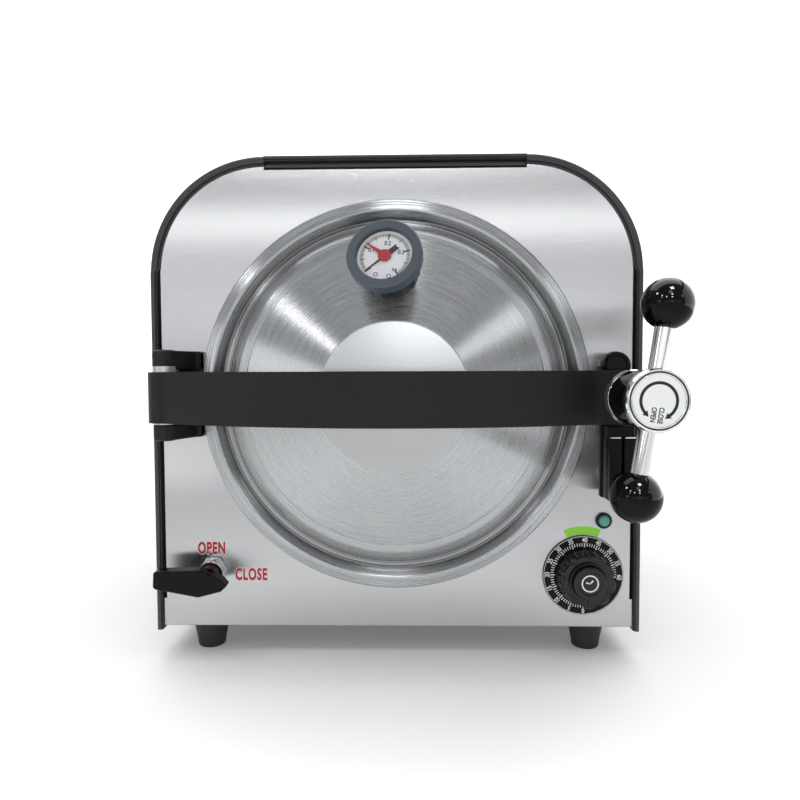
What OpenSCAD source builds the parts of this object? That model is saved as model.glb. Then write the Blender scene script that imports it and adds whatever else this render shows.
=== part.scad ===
// Benchtop steam autoclave: arched sheet-metal case, round pressure chamber, and a dished lid that an
// arm on a side hinge carries and a ball-lever spindle clamps. Millimetres, +Z up, -Y towards the user.

/* [Case] */
// Width of the case over its edge trims
case_w = 340; // [340:1:360]
// Height of the case from its lower edge to the crown
case_h = 328; // [328:1:345]
// Depth of the case over its edge trims
case_d = 400; // [396:1:440]
// Radius of the two upper corners
corner_r = 80; // [70:1:90]
// Height of the rubber feet
foot_h = 22; // [18:1:26]

/* [Chamber] */
// Inside diameter of the pressure chamber
chamber_d = 230; // [226:1:230]
// Wall thickness of the pressure chamber
chamber_wall = 2; // [1.5:0.5:2]
// Height of the chamber's axis above the case's lower edge
axis_rise = 163.5; // [163:0.5:166]
// Number of perforation columns in a tray
tray_columns = 5; // [3:1:7]
// Number of perforation rows in a tray
tray_rows = 9; // [5:1:11]

/* [Door] */
// Diameter of the lid
lid_d = 264; // [263:0.5:265]
// Height of the door arm's section
arm_h = 32.5; // [30:0.5:33]
// Thickness of the door arm
arm_t = 16; // [15:0.5:17]
// Diameter of the polished plate at the lid's centre
plate_d = 97; // [60:1:98]
// Diameter of the gauge's bezel
bezel_d = 44.4; // [42:0.2:46]

/* [Latch] */
// Distance between the two ball knobs' centres
lever_span = 110.4; // [100:0.2:111]
// Diameter of a ball knob
ball_d = 30.6; // [26:0.2:30.6]
// Diameter of the lever's rods
rod_d = 10; // [8:0.5:11]
// Lean of the lever from upright, clockwise
lever_lean = 8.5; // [0:0.5:8.5]

/* [Controls] */
// Diameter of the timer's dial plate
dial_d = 56; // [50:1:58]
// Diameter of the timer's knob
knob_d = 38; // [32:1:40]
// Number of finger flutes around the knob
knob_flutes = 9; // [6:1:12]
// Downward tilt of the steam release valve
valve_tilt = 5; // [0:1:8]

/* [Hidden] */
$fn = 96;

// Every module draws in the face frame: x to the right, y up, and z out of the front panel's face,
// with its zero on that face and on the surface that the feet stand on.
half_w = case_w / 2;
top_y = foot_h + case_h;
axis_y = foot_h + axis_rise;
sheet_t = 1.2;
panel_t = 1.5;
skin_inset = 1;              // the casing lies this far inside the trims' outer face
skin_in = half_w - skin_inset - sheet_t;
lip_w = 12;
trim_w = 4.2;
trim_front = 2;              // the front trim stands this far out of the panel
trim_depth = 10;
panel_half_w = half_w - trim_w - 0.4;
panel_r = corner_r - trim_w - 0.4;
panel_inset = 1.5;           // the straight, flanged edges lie this far inside the corners
flange_len = 14;
flange_start = 20;           // the side flanges begin this far above the panel's lower edge
rear_z = -(case_d - 6);      // outer face of the rear panel
foot_x = 138.3;
foot_front_z = -22.6;
foot_rear_z = -(case_d - 45);
foot_r = 14;
base_y = foot_h + panel_t;     // underside of the base plate, on the front panel's lower flange
foot_places = [for (x = [-foot_x, foot_x], z = [foot_front_z, foot_rear_z]) [x, z]];

chamber_r = chamber_d / 2;
shell_r = chamber_r + chamber_wall;
shell_l = 330;
dish_depth = 20;
chamber_flange_r = lid_d / 2 - 0.5;
chamber_flange_t = 8;
blanket_r = 131;
panel_hole_r = shell_r + 1.5;
heater_x = 38;
heater_y = axis_y - 98;
heater_r = 4;
heater_end_z = -372;
saddle_places = [-62, -280];
tray_levels = [-46, -8, 30];
tray_half_w = 82;
tray_front_z = -14;
tray_l = 286;
tray_depth = 14;
rack_front_z = -15;
rack_rear_z = -300;
runner = [83.7, -73.7];
runner_r = 2.8;
top_rail = [88, 52];
post_x = 86;
post_r = 2.5;

pin_x = -(half_w - 18);
pin_z = 25;
pin_r = 5;
barrel_r = 10.6;
lug_t = 10;
upper_lug_y = axis_y + 20.5;
lower_lug_y = axis_y - 27.7;
arm_mid_z = 75;              // front of the arm over the lid's centre
arm_pin_z = 34;              // front of the arm beside the hinge pin
arm_end_z = 50;              // front of the flat that carries the lever
arm_end_x = 126;             // where the arc meets that flat
// The circle through the arm's three front points: [pin_x, arm_pin_z], [0, arm_mid_z], [arm_end_x, arm_end_z]
arm_centre = circle_centre([pin_x, arm_pin_z], [0, arm_mid_z], [arm_end_x, arm_end_z]);
arm_r = norm([0, arm_mid_z] - arm_centre);
bush_r = 6.5;
stud_r = 9;

lid_r = lid_d / 2;
lid_back_z = 8.6;
plate_r = plate_d / 2;
plate_z = 40;
cone_end = [104, 20];
cone_tilt = atan((plate_z - cone_end[1]) / (cone_end[0] - 49));
gauge_y = 73.5;              // where the gauge's axis meets the cone, above the lid's centre
gauge_z = plate_z - (gauge_y - 49) * tan(cone_tilt);
gauge_lean = 8;
gauge_turn = -5;
bezel_r = bezel_d / 2;
gauge_case_r = 19;
gauge_case_w = [12, 33];
bezel_w = [29, 38.5];
dial_w = [33, 33.6];
needle_w = [34, 34.5];
pointer_w = [34.7, 35.2];
lens_w = [35.4, 36.4];
needle_hole_r = 0.85;

bolt_x = 146.5;
bolt_r = 5;
spindle_nut_r = 9;
lever_z = 84;
hub_z = [54.7, 95];
hub_r = 18.1;
collar_z = [50.3, 54.5];
collar_r = 17.2;
rod_root = 8;                // the rods start this far from the spindle's axis
rod_grip = 9;                // and end this far inside a ball's surface
strap_z = [13, 18];
strap_half_w = 9.5;
strap_low_y = foot_h + 95;
strap_top_y = foot_h + 183.3;
keeper_block_z = 35;
slot_w = 12;
slot_h = 27;
head_z = [5.5, 10.5];        // the spindle's cross head, behind the strap

valve_pos = [-128.8, foot_h + 41];
valve_body_r = 8;
valve_body_l = 40;
valve_stem_r = 3;
timer_pos = [130.5, foot_h + 37.2];
lamp_pos = [144.6, foot_h + 75.7];
inlet_pos = [105, foot_h + 44];
cutout_pos = [60, foot_h + 44];
safety_y = axis_y + 72;
spigot_r = 5;
spigot_l = 20;
rear_reach = 22;             // the safety valve's ring stands this far behind the trims

// The origin is under the middle of the whole object, so the face lies half the overall depth forward
front_reach = lever_z + ball_d / 2;
overall_d = front_reach + case_d + rear_reach;
front_y = front_reach - overall_d / 2;

function arc(c, r, a0, a1, n = 16) =
    [for (i = [0:n]) let (a = a0 + (a1 - a0) * i / n) c + r * [cos(a), sin(a)]];
function reversed(list) = [for (i = [len(list) - 1:-1:0]) list[i]];
function circle_centre(a, b, c) =
    let (
        d = 2 * (a[0] * (b[1] - c[1]) + b[0] * (c[1] - a[1]) + c[0] * (a[1] - b[1])),
        a2 = a * a, b2 = b * b, c2 = c * c
    )
    [
        (a2 * (b[1] - c[1]) + b2 * (c[1] - a[1]) + c2 * (a[1] - b[1])) / d,
        (a2 * (c[0] - b[0]) + b2 * (a[0] - c[0]) + c2 * (b[0] - a[0])) / d
    ];
// An arch from one lower end to the other: straight sides and two round upper corners
function arch(hw, bottom, top, r) = concat(
    [[hw, bottom]],
    arc([hw - r, top - r], r, 0, 90),
    arc([r - hw, top - r], r, 90, 180),
    [[-hw, bottom]]
);
function ellipse_arc(a, b, z, n = 12) =
    [for (i = [0:n]) let (t = 90 * i / n) [a * cos(t), z - b * sin(t)]];

// The face frame, and a 2D shape in x and z extruded upwards along y
module face_frame() translate([0, front_y, 0]) rotate([90, 0, 0]) children();
module upright(y, l) translate([0, y + l, 0]) rotate([90, 0, 0]) linear_extrude(l) children();
module ring(r_in, r_out, z) rotate_extrude()
    translate([r_in, z[0]]) square([r_out - r_in, z[1] - z[0]]);
module disc(r, z) translate([0, 0, z[0]]) cylinder(r = r, h = z[1] - z[0]);
// A round rod between two points
module rod(a, b, r) {
    d = b - a;
    translate(a) rotate([0, acos(d[2] / norm(d)), atan2(d[1], d[0])]) cylinder(r = r, h = norm(d));
}
module on_axis() translate([0, axis_y, 0]) children();
module at_bolt() translate([bolt_x, axis_y, 0]) children();
module at_valve() translate([valve_pos[0], valve_pos[1], 0]) rotate([valve_tilt, 0, 0]) children();
module at_gauge() translate([0, axis_y + gauge_y, gauge_z])
    rotate([-cone_tilt, -gauge_lean, 0]) rotate([0, 0, gauge_turn]) children();

// Case

module skin_2d() difference() {
    hw = half_w - skin_inset;
    r = corner_r - skin_inset;
    polygon(arch(hw, foot_h, top_y - skin_inset, r));
    polygon(arch(hw - sheet_t, foot_h - 1, top_y - skin_inset - sheet_t, r - sheet_t));
}

module casing() face_frame() color("dimgray") {
    z0 = -(case_d - 4);
    difference() {
        translate([0, 0, z0]) linear_extrude(case_d - 8) skin_2d();
        for (s = [-1, 1], z = side_screw_z()) side_screw_place(s, z) cylinder(r = 2.1, h = 4, center = true);
    }
    // lips that fold in under the base plate's edges
    for (s = [-1, 1])
        translate([s * (skin_in - lip_w / 2 + 0.1) - lip_w / 2, base_y - sheet_t, z0 + 12])
            cube([lip_w, sheet_t, case_d - 34]);
}

module trim_2d() {
    low = foot_h - 2.5;
    polygon(concat(
        arch(half_w, low, top_y, corner_r),
        reversed(arch(half_w - trim_w, foot_h + 0.5, top_y - trim_w, corner_r - trim_w))
    ));
}

module edge_trims() face_frame() color("darkslategray") for (z = [trim_front - trim_depth, -case_d])
    difference() {
        translate([0, 0, z]) linear_extrude(trim_depth) trim_2d();
        translate([0, 0, -(case_d - 4)]) linear_extrude(case_d - 8) skin_2d();
    }

module panel_2d() {
    x = panel_half_w;
    xi = x - panel_inset;
    y = foot_h + case_h - trim_w - 0.4;
    side_y = y - panel_r;
    polygon(concat(
        [[x, foot_h], [x, foot_h + flange_start], [xi, foot_h + flange_start], [xi, side_y]],
        arc([x - panel_r, side_y], panel_r, 0, 90),
        [[x - panel_r, y - panel_inset], [panel_r - x, y - panel_inset]],
        arc([panel_r - x, side_y], panel_r, 90, 180),
        [[-xi, side_y], [-xi, foot_h + flange_start], [-x, foot_h + flange_start], [-x, foot_h]]
    ));
}

module front_panel() face_frame() color("silver") {
    x = panel_half_w - panel_inset;
    y = foot_h + case_h - trim_w - 0.4;
    side_y = y - panel_r;
    difference() {
        translate([0, 0, -panel_t]) linear_extrude(panel_t) panel_2d();
        on_axis() disc(panel_hole_r, [-3, 1]);
        at_valve() disc(valve_body_r + 0.3, [-8, 8]);
        translate([timer_pos[0], timer_pos[1]]) disc(4.5, [-3, 1]);
        translate([lamp_pos[0], lamp_pos[1]]) disc(4.2, [-3, 1]);
        for (p = keeper_stud_places()) translate(p) disc(4, [-3, 1]);
        for (p = hinge_screw_places()) translate(p) disc(3, [-3, 1]);
    }
    // flanges bent back along the straight edges
    z = -flange_len;
    l = flange_len - panel_t + 0.1;
    for (s = [-1, 1])
        translate([s * (x - panel_t / 2) - panel_t / 2, foot_h + flange_start, z])
            cube([panel_t, side_y - foot_h - flange_start, l]);
    translate([panel_r - panel_half_w, y - panel_inset - panel_t, z])
        cube([2 * (panel_half_w - panel_r), panel_t, l]);
    translate([-150, foot_h, -8]) cube([300, panel_t, 8 - panel_t + 0.1]);
}

module rear_panel() face_frame() color("silver") difference() {
    y = foot_h + case_h - trim_w - 0.4;
    translate([0, 0, rear_z]) linear_extrude(sheet_t) polygon(arch(panel_half_w, foot_h, y, panel_r));
    // cooling slots, two rows under the crown
    slot_l = 26;
    for (i = [-6:6], k = [0, 1])
        translate([i * 14 - 2, y - 48 - k * 38, rear_z - 1]) cube([4, slot_l, 4]);
    translate([inlet_pos[0] - 24, inlet_pos[1] - 14, rear_z - 1]) cube([48, 28, 4]);
    translate([cutout_pos[0], cutout_pos[1]]) disc(6, [rear_z - 1, rear_z + 3]);
    translate([0, safety_y]) disc(6, [rear_z - 1, rear_z + 3]);
    translate([valve_pos[0], drain_y()]) disc(4, [rear_z - 1, rear_z + 3]);
    for (p = rear_screw_places()) translate(p) disc(2, [rear_z - 1, rear_z + 3]);
}

module base_plate() face_frame() color("gray") difference() {
    z = rear_z + sheet_t;
    l = -z - panel_t;
    hw = panel_half_w - panel_inset - panel_t;
    wing_z = z + 8;
    wing_l = l - 20;
    union() {
        translate([-hw, base_y, z]) cube([2 * hw, panel_t, l]);
        translate([-skin_in, base_y, wing_z]) cube([2 * skin_in, panel_t, wing_l]);
        // upstands along the casing, which the side screws hold
        for (s = [-1, 1]) translate([s * (skin_in - panel_t / 2) - panel_t / 2, base_y, wing_z])
            cube([panel_t, 16, wing_l]);
    }
    for (p = foot_places) translate([p[0], base_y - 1, p[1]]) rotate([-90, 0, 0]) cylinder(r = 2.1, h = 4);
    for (s = [-1, 1], z = side_screw_z()) side_screw_place(s, z) cylinder(r = 2.1, h = 20, center = true);
    // bottom cooling slots, left and right of the saddles
    for (s = [-1, 1], i = [0:7]) translate([s * 112 - 12, base_y - 1, z + 95 + i * 22]) cube([24, 4, 5]);
}

module rubber_feet() face_frame() color("black") for (p = foot_places)
    translate([p[0], 0, p[1]]) rotate([-90, 0, 0]) rotate_extrude() polygon(concat(
        [[4.8, 0]],
        arc([7.6, 2], 2, -90, -10, 6),
        [[foot_r, base_y - 1.5], [foot_r, base_y], [2.1, base_y], [2.1, 8], [4.8, 8]]
    ));

module foot_screws() face_frame() color("lightgray") for (p = foot_places)
    translate([p[0], 0, p[1]]) rotate([-90, 0, 0]) {
        translate([0, 0, 5]) cylinder(r = 4, h = 3);
        translate([0, 0, 7.9]) cylinder(r = 2, h = base_y + 1);
        // nut on top of the base plate
        translate([0, 0, base_y + panel_t]) cylinder(r = 4.4, h = 3.2, $fn = 6);
    }

function rear_screw_places() = [
    for (s = [-1, 1], y = [30, 130, 230]) [s * (panel_half_w - 8), foot_h + y],
    for (s = [-1, 1]) [s * 60, top_y - 14]
];
function side_screw_z() = [-60, -200, -(case_d - 60)];
module side_screw_place(s, z) translate([s * (half_w - skin_inset), base_y + 10, z]) rotate([0, s * 90, 0])
    children();

// Cross-head screws: those of the rear panel, and those in the casing's sides
module case_screws() face_frame() color("lightgray") {
    for (p = rear_screw_places()) translate([p[0], p[1], rear_z]) {
        disc(2, [-0.1, 8]);
        difference() {
            disc(3.6, [-1.8, 0]);
            for (a = [0, 90]) rotate([0, 0, a]) translate([-2.2, -0.4, -2.8]) cube([4.4, 0.8, 2]);
        }
    }
    for (s = [-1, 1], z = side_screw_z()) side_screw_place(s, z) {
        disc(2, [-6, 0.1]);
        difference() {
            disc(3.6, [0, 0.95]);
            for (a = [0, 90]) rotate([0, 0, a]) translate([-2.2, -0.4, 0.35]) cube([4.4, 0.8, 2]);
        }
    }
}

// Chamber

module chamber_flange() face_frame() on_axis() color("gainsboro")
    ring(shell_r, chamber_flange_r, [0, chamber_flange_t]);

module chamber_shell() face_frame() on_axis() color("gainsboro") difference() {
    ring(chamber_r, shell_r, [-shell_l, chamber_flange_t]);
    translate([0, -axis_y, 0]) steam_branch(4);
}

module chamber_end() face_frame() on_axis() color("gainsboro") difference() {
    rotate_extrude() polygon(concat(
        ellipse_arc(chamber_r, dish_depth, -shell_l),
        reversed(ellipse_arc(shell_r, dish_depth + chamber_wall, -shell_l))
    ));
    for (s = [-1, 1]) translate([s * heater_x, heater_y - axis_y]) disc(heater_r, [-400, -300]);
    translate([0, safety_y - axis_y]) disc(5, [-400, -300]);
}

// Steel ring behind the front panel: it carries the chamber, the hinge bracket and the latch keeper
module support_ring() face_frame() color("darkgray") difference() {
    z = [-panel_t - 5, -panel_t];
    union() {
        on_axis() disc(129, z);
        translate([pin_x - 6, axis_y - 34, z[0]]) cube([60, 70, 5]);
        translate([bolt_x - 44, strap_low_y, z[0]]) cube([56, strap_top_y - strap_low_y + 10, 5]);
    }
    on_axis() disc(shell_r, [-20, 5]);
    for (p = keeper_stud_places()) translate(p) disc(4, [-20, 5]);
    for (p = hinge_screw_places()) translate(p) disc(3, [-20, 5]);
}

module insulation_blanket() face_frame() color("beige") difference() {
    on_axis() ring(shell_r + 0.2, blanket_r, [-shell_l + 6, -panel_t - 6]);
    steam_branch(4.5);
}

module chamber_saddles() face_frame() color("darkgray") for (z = saddle_places) difference() {
    translate([-92, base_y + panel_t, z]) {
        cube([184, 64, 2.5]);
        cube([184, 2.5, 16]);
    }
    on_axis() disc(blanket_r + 0.2, [z - 1, z + 20]);
}

module heater_element() face_frame() color("slategray") translate([0, heater_y, 0]) {
    front_z = -70;
    for (s = [-1, 1]) translate([s * heater_x, 0]) disc(heater_r, [heater_end_z, front_z]);
    translate([0, 0, front_z]) rotate([90, 0, 0])
        rotate_extrude(angle = 180) translate([heater_x, 0]) circle(heater_r);
}

module heater_glands() face_frame() color("goldenrod") for (s = [-1, 1])
    translate([s * heater_x, heater_y]) difference() {
        translate([0, 0, -352]) cylinder(r = 9, h = 8, $fn = 6);
        disc(heater_r, [-360, -340]);
    }

module tray_rack() face_frame() on_axis() color("silver") {
    z = [rack_rear_z, rack_front_z];
    for (s = [-1, 1]) {
        translate([s * runner[0], runner[1]]) disc(runner_r, [z[0] - 3, z[1] + 3]);
        translate([s * top_rail[0], top_rail[1]]) disc(post_r, [z[0] - 3, z[1] + 3]);
        for (k = z) rod([s * post_x, runner[1] + 2, k], [s * post_x, top_rail[1], k], post_r);
        for (y = tray_levels) translate([s * 81.5 - 5.5, y - 1.2, z[0]]) cube([11, 1.2, z[1] - z[0]]);
    }
    for (k = z) {
        rod([-runner[0], runner[1], k], [runner[0], runner[1], k], post_r);
        rod([-top_rail[0], top_rail[1], k], [top_rail[0], top_rail[1], k], post_r);
    }
}

module instrument_trays() face_frame() on_axis() color("gainsboro") for (y = tray_levels)
    translate([0, y, tray_front_z - tray_l]) difference() {
        translate([-tray_half_w, 0, 0]) cube([2 * tray_half_w, tray_depth, tray_l]);
        translate([1 - tray_half_w, 1, 1]) cube([2 * tray_half_w - 2, tray_depth, tray_l - 2]);
        for (i = [0:tray_columns - 1], k = [0:tray_rows - 1]) translate([
            (i - (tray_columns - 1) / 2) * 130 / (tray_columns - 1), -1,
            tray_l / 2 + (k - (tray_rows - 1) / 2) * 244 / (tray_rows - 1)
        ]) rotate([-90, 0, 0]) cylinder(r = 4, h = 3, $fn = 24);
    }

// Hinge

function hinge_screw_places() = [for (y = [-10, 10]) [-143, axis_y + y]];

module hinge_bracket() face_frame() color("black") difference() {
    union() {
        upright(lower_lug_y, upper_lug_y + lug_t - lower_lug_y)
            polygon([[-152, 0], [-134.2, 0], [-134.2, 6.5], [-150, 6.5]]);
        for (y = [lower_lug_y, upper_lug_y]) upright(y, lug_t) {
            polygon([
                [-156, 0], [-134.2, 0], [-134.2, 6.5], [-137.5, 8],
                [pin_x + 7, pin_z + 4], [pin_x, pin_z + 8], [pin_x - 8, pin_z]
            ]);
            translate([pin_x, pin_z]) circle(8);
        }
    }
    translate([pin_x, lower_lug_y - 5, pin_z]) rotate([-90, 0, 0]) cylinder(r = pin_r, h = 80);
    for (p = hinge_screw_places()) translate(p) disc(3, [-1, 9]);
}

module hinge_pin() face_frame() color("silver") translate([pin_x, 0, pin_z]) rotate([-90, 0, 0]) {
    translate([0, 0, lower_lug_y - 2]) cylinder(r = pin_r, h = upper_lug_y + lug_t - lower_lug_y + 2);
    translate([0, 0, upper_lug_y + lug_t]) cylinder(r = 6.5, h = 2.5);
    translate([0, 0, lower_lug_y - 2]) cylinder(r = 6, h = 2);
}

// Plain washers between the lugs and the arm's barrel
module hinge_spacers() face_frame() color("silver") translate([pin_x, 0, pin_z]) rotate([-90, 0, 0]) {
    gap = 0.15;
    for (z = [[axis_y + arm_h / 2 + gap, upper_lug_y], [lower_lug_y + lug_t, axis_y - arm_h / 2 - gap]])
        ring(pin_r, 8, z);
}

module hinge_screws() face_frame() color("dimgray") for (p = hinge_screw_places())
    translate(p) difference() {
        union() {
            disc(3, [-12, 7]);
            disc(4.8, [6.5, 9.5]);
        }
        translate([0, 0, 8]) cylinder(r = 2, h = 3, $fn = 6);
    }

// Latch

function keeper_stud_places() = [[bolt_x, strap_top_y], [bolt_x, foot_h + 109]];

module latch_keeper() face_frame() color("black") difference() {
    union() {
        translate([bolt_x - strap_half_w, strap_low_y, strap_z[0]])
            cube([2 * strap_half_w, strap_top_y - strap_low_y, strap_z[1] - strap_z[0]]);
        translate([bolt_x, strap_top_y]) disc(strap_half_w, strap_z);
        // wider around the slot, where the spindle's head bears
        translate([bolt_x - 13, axis_y - 16, strap_z[0]]) cube([26, 32, strap_z[1] - strap_z[0]]);
        // guard block under the arm, with a step down beside the arm's edge
        translate([bolt_x - 8.5, strap_low_y, strap_z[0]]) cube([17, 40, keeper_block_z - strap_z[0]]);
        translate([bolt_x - 8.5, strap_low_y + 39, strap_z[0]])
            cube([17, 10.5, keeper_block_z - 3.5 - strap_z[0]]);
    }
    at_bolt() translate([-slot_w / 2, -slot_h / 2, strap_z[0] - 1]) cube([slot_w, slot_h, 8]);
    translate([bolt_x - 0.8, strap_low_y - 1, keeper_block_z - 3]) cube([1.6, 42, 4]);
    for (p = keeper_stud_places()) translate(p) disc(4, [0, 40]);
}

// Studs with a spacer nut behind the strap and a cap nut in front of it
module keeper_studs() face_frame() color("silver") for (p = keeper_stud_places()) translate(p) {
    front = p[1] > axis_y ? strap_z[1] : keeper_block_z;
    disc(4, [-12, front]);
    cylinder(r = 6.8, h = 7, $fn = 6);
    disc(6, [6.9, strap_z[0]]);
    disc(6.2, [front, front + 3]);
}

module spindle_nut() face_frame() at_bolt() color("peru") {
    ring(bolt_r + 0.06, spindle_nut_r, [arm_end_z - arm_t, arm_end_z]);
    ring(bolt_r + 0.06, 12, [arm_end_z - arm_t - 3, arm_end_z - arm_t]);
}

module lever_collar() face_frame() at_bolt() color("black") rotate_extrude() polygon([
    [bolt_r + 0.3, collar_z[0]], [collar_r, collar_z[0]], [collar_r, collar_z[0] + 1.5],
    [collar_r - 1.4, collar_z[1]], [bolt_r + 0.3, collar_z[1]]
]);

module clamp_spindle() face_frame() at_bolt() color("silver") {
    disc(bolt_r, [head_z[0], 72]);
    translate([-4.5, -12, head_z[0]]) cube([9, 24, head_z[1] - head_z[0]]);
}

module in_lever() at_bolt() translate([0, 0, lever_z]) rotate([0, 0, -lever_lean]) children();

module lever_hub() face_frame() color("white") difference() {
    at_bolt() rotate_extrude() polygon([
        [0, hub_z[0]], [collar_r - 1.4, hub_z[0]], [collar_r - 1.4, hub_z[0] + 2],
        [hub_r - 1.3, hub_z[0] + 4], [hub_r - 1.3, hub_z[1] - 7], [hub_r, hub_z[1] - 5.5],
        [hub_r, hub_z[1] - 1], [hub_r - 1, hub_z[1]], [hub_r - 1.8, hub_z[1]],
        [hub_r - 1.8, hub_z[1] - 0.6], [0, hub_z[1] - 0.6]
    ]);
    at_bolt() disc(bolt_r, [hub_z[0] - 1, 72]);
    in_lever() for (s = [-1, 1]) rod([0, s * rod_root, 0], [0, s * 30, 0], rod_d / 2);
}

module lever_rods() face_frame() color("white") in_lever() for (s = [-1, 1])
    rod([0, s * rod_root, 0], [0, s * (lever_span / 2 - ball_d / 2 + rod_grip), 0], rod_d / 2);

module ball_knobs() face_frame() color("black") in_lever() for (s = [-1, 1])
    translate([0, s * lever_span / 2, 0]) difference() {
        sphere(r = ball_d / 2);
        // flat around the rod, and the rod's socket
        translate([-10, s > 0 ? -ball_d : ball_d / 2 - 1.2, -10]) cube([20, ball_d / 2 + 1.2, 20]);
        rod([0, -s * ball_d, 0], [0, s * (rod_grip - ball_d / 2), 0], rod_d / 2);
    }

// Door

module arm_2d() {
    intersection() {
        difference() {
            translate(arm_centre) circle(arm_r, $fn = 256);
            translate(arm_centre) circle(arm_r - arm_t, $fn = 256);
        }
        translate([pin_x, 0]) square([arm_end_x - pin_x, 100]);
    }
    translate([pin_x, pin_z]) circle(barrel_r);
    translate([arm_end_x - 1.5, arm_end_z - arm_t]) square([bolt_x + 20 - arm_end_x, arm_t]);
}

module door_arm() face_frame() color("black") difference() {
    union() {
        intersection() {
            upright(axis_y - arm_h / 2, arm_h) arm_2d();
            union() {
                translate([pin_x - 20, axis_y - 30, 0]) cube([bolt_x - pin_x + 20, 60, 100]);
                at_bolt() disc(arm_h / 2, [0, 100]);
            }
        }
        // flat pad for the lid's pivot
        on_axis() disc(16, [arm_mid_z - arm_t - 1, arm_mid_z - 6]);
    }
    translate([pin_x, axis_y - 40, pin_z]) rotate([-90, 0, 0]) cylinder(r = bush_r, h = 80);
    on_axis() disc(stud_r, [0, arm_mid_z - 7]);
    at_bolt() disc(spindle_nut_r, [0, 100]);
}

module hinge_bushes() face_frame() color("peru") translate([pin_x, 0, pin_z]) rotate([-90, 0, 0])
    for (y = [axis_y - arm_h / 2, axis_y + arm_h / 2 - 12]) ring(pin_r + 0.05, bush_r, [y, y + 12]);

// The lid's section, outside from the centre to the rim and back along the inside
function lid_profile() = concat(
    [[0, plate_z], [49, plate_z]],
    arc([98.6, 5.2], 16, 90 - cone_tilt, 32, 8),
    [[113.6, 12.6], [115.2, 12.2], [115.8, 10.4], [117, 10], [lid_r - 12, 10]],
    arc([lid_r - 6, 10], 6, 180, 0, 14),
    [[lid_r, lid_back_z], [lid_r - 2.8, lid_back_z], [lid_r - 2.8, 12.8], [lid_r - 10, 12.8]],
    [[lid_r - 10, lid_back_z], [113, lid_back_z], [109, 12.5], [97, 19.6], [48, 37], [0, 37]]
);

module lid_solid() on_axis() rotate_extrude() polygon(lid_profile());

module door_lid() face_frame() color("silver") difference() {
    lid_solid();
    at_gauge() disc(5, [-20, 20]);
}

module lid_centre_plate() face_frame() on_axis() color("gainsboro") disc(plate_r, [plate_z, plate_z + 1]);

module door_gasket() face_frame() on_axis() color("whitesmoke") rotate_extrude() polygon(concat(
    [[lid_r - 9.9, 12.7], [lid_r - 9.9, 9.6]],
    arc([lid_r - 6.4, 10.8], 2.5, 215, 325, 6),
    [[lid_r - 2.9, 9.6], [lid_r - 2.9, 12.7]]
));

module pivot_stud() face_frame() on_axis() color("silver") {
    disc(stud_r, [plate_z + 1, arm_mid_z - 7]);
    ring(stud_r, 13, [plate_z + 1, plate_z + 5]);
}

module pivot_retainer() face_frame() on_axis() color("dimgray") difference() {
    ring(stud_r + 0.2, 16, [arm_mid_z - arm_t - 4.5, arm_mid_z - arm_t - 1]);
    for (s = [-1, 1]) translate([s * 12.5, 0]) disc(1.6, [40, 60]);
}

// Gauge, in its own frame with the zero on the lid's cone

module gauge_stem() face_frame() color("goldenrod") difference() {
    at_gauge() {
        disc(5, [-8, gauge_case_w[0]]);
        translate([0, 0, -9]) cylinder(r = 8, h = 5, $fn = 6);
        translate([0, 0, 1.8]) cylinder(r = 8.5, h = gauge_case_w[0] - 1.8, $fn = 6);
    }
    difference() {
        lid_solid();
        at_gauge() disc(5, [-20, 20]);
    }
}

module gauge_case() face_frame() at_gauge() color("black") {
    difference() {
        disc(gauge_case_r, gauge_case_w);
        // relief slots around the back of the case
        for (a = [0:30:330]) rotate([0, 0, a])
            translate([gauge_case_r - 1, -1.2, gauge_case_w[0] - 1]) cube([3, 2.4, 10]);
    }
}

module gauge_bezel() face_frame() at_gauge() color("slategray") rotate_extrude() polygon([
    [gauge_case_r, bezel_w[0]], [bezel_r - 1, bezel_w[0]], [bezel_r, bezel_w[0] + 1],
    [bezel_r, bezel_w[1] - 1], [bezel_r - 1, bezel_w[1]], [18, bezel_w[1]],
    [17, bezel_w[1] - 1], [17, lens_w[1]], [gauge_case_r, lens_w[1]]
]);

module gauge_dial() face_frame() at_gauge() color("white") {
    disc(gauge_case_r - 0.1, dial_w);
    disc(needle_hole_r - 0.05, [dial_w[1] - 0.1, pointer_w[1]]);
}

module gauge_lens() face_frame() at_gauge() color("azure") disc(gauge_case_r - 0.1, lens_w);

// A needle: hub, tapered pointer and tail, pointing along the angle a
module needle(z, a, hub, reach, root_w, tip_w, tail, tail_w) difference() {
    union() {
        disc(hub, z);
        rotate([0, 0, a]) translate([0, 0, z[0]]) linear_extrude(z[1] - z[0]) polygon([
            [0, root_w / 2], [reach, tip_w / 2], [reach, -tip_w / 2], [0, -root_w / 2],
            [0, -tail_w / 2], [-tail, -tail_w / 2], [-tail, tail_w / 2], [0, tail_w / 2]
        ]);
    }
    disc(needle_hole_r, [z[0] - 1, z[1] + 1]);
}

module gauge_needle() face_frame() at_gauge() color("black")
    needle(needle_w, 225, 1.8, 14.5, 1.4, 0.5, 8.5, 2.4);

module gauge_set_pointer() face_frame() at_gauge() color("red")
    needle(pointer_w, 148, 3.5, 13.5, 2.6, 0.9, 2, 2);

// Steam release valve

module valve_shell() {
    disc(valve_body_r, [-valve_body_l, 0.9]);
    translate([0, 0, -30]) cylinder(r = 12, h = 18, $fn = 6);
}

module release_valve_body() face_frame() at_valve() color("goldenrod") difference() {
    valve_shell();
    disc(valve_stem_r + 0.06, [-8.5, 5]);
}

module release_valve_nut() face_frame() at_valve() color("silver") difference() {
    union() {
        translate([0, 0, 0.9]) cylinder(r = 9.6, h = 5.4, $fn = 6);
        disc(8.8, [6.2, 9]);
    }
    disc(valve_stem_r + 0.06, [0, 14]);
}

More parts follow.
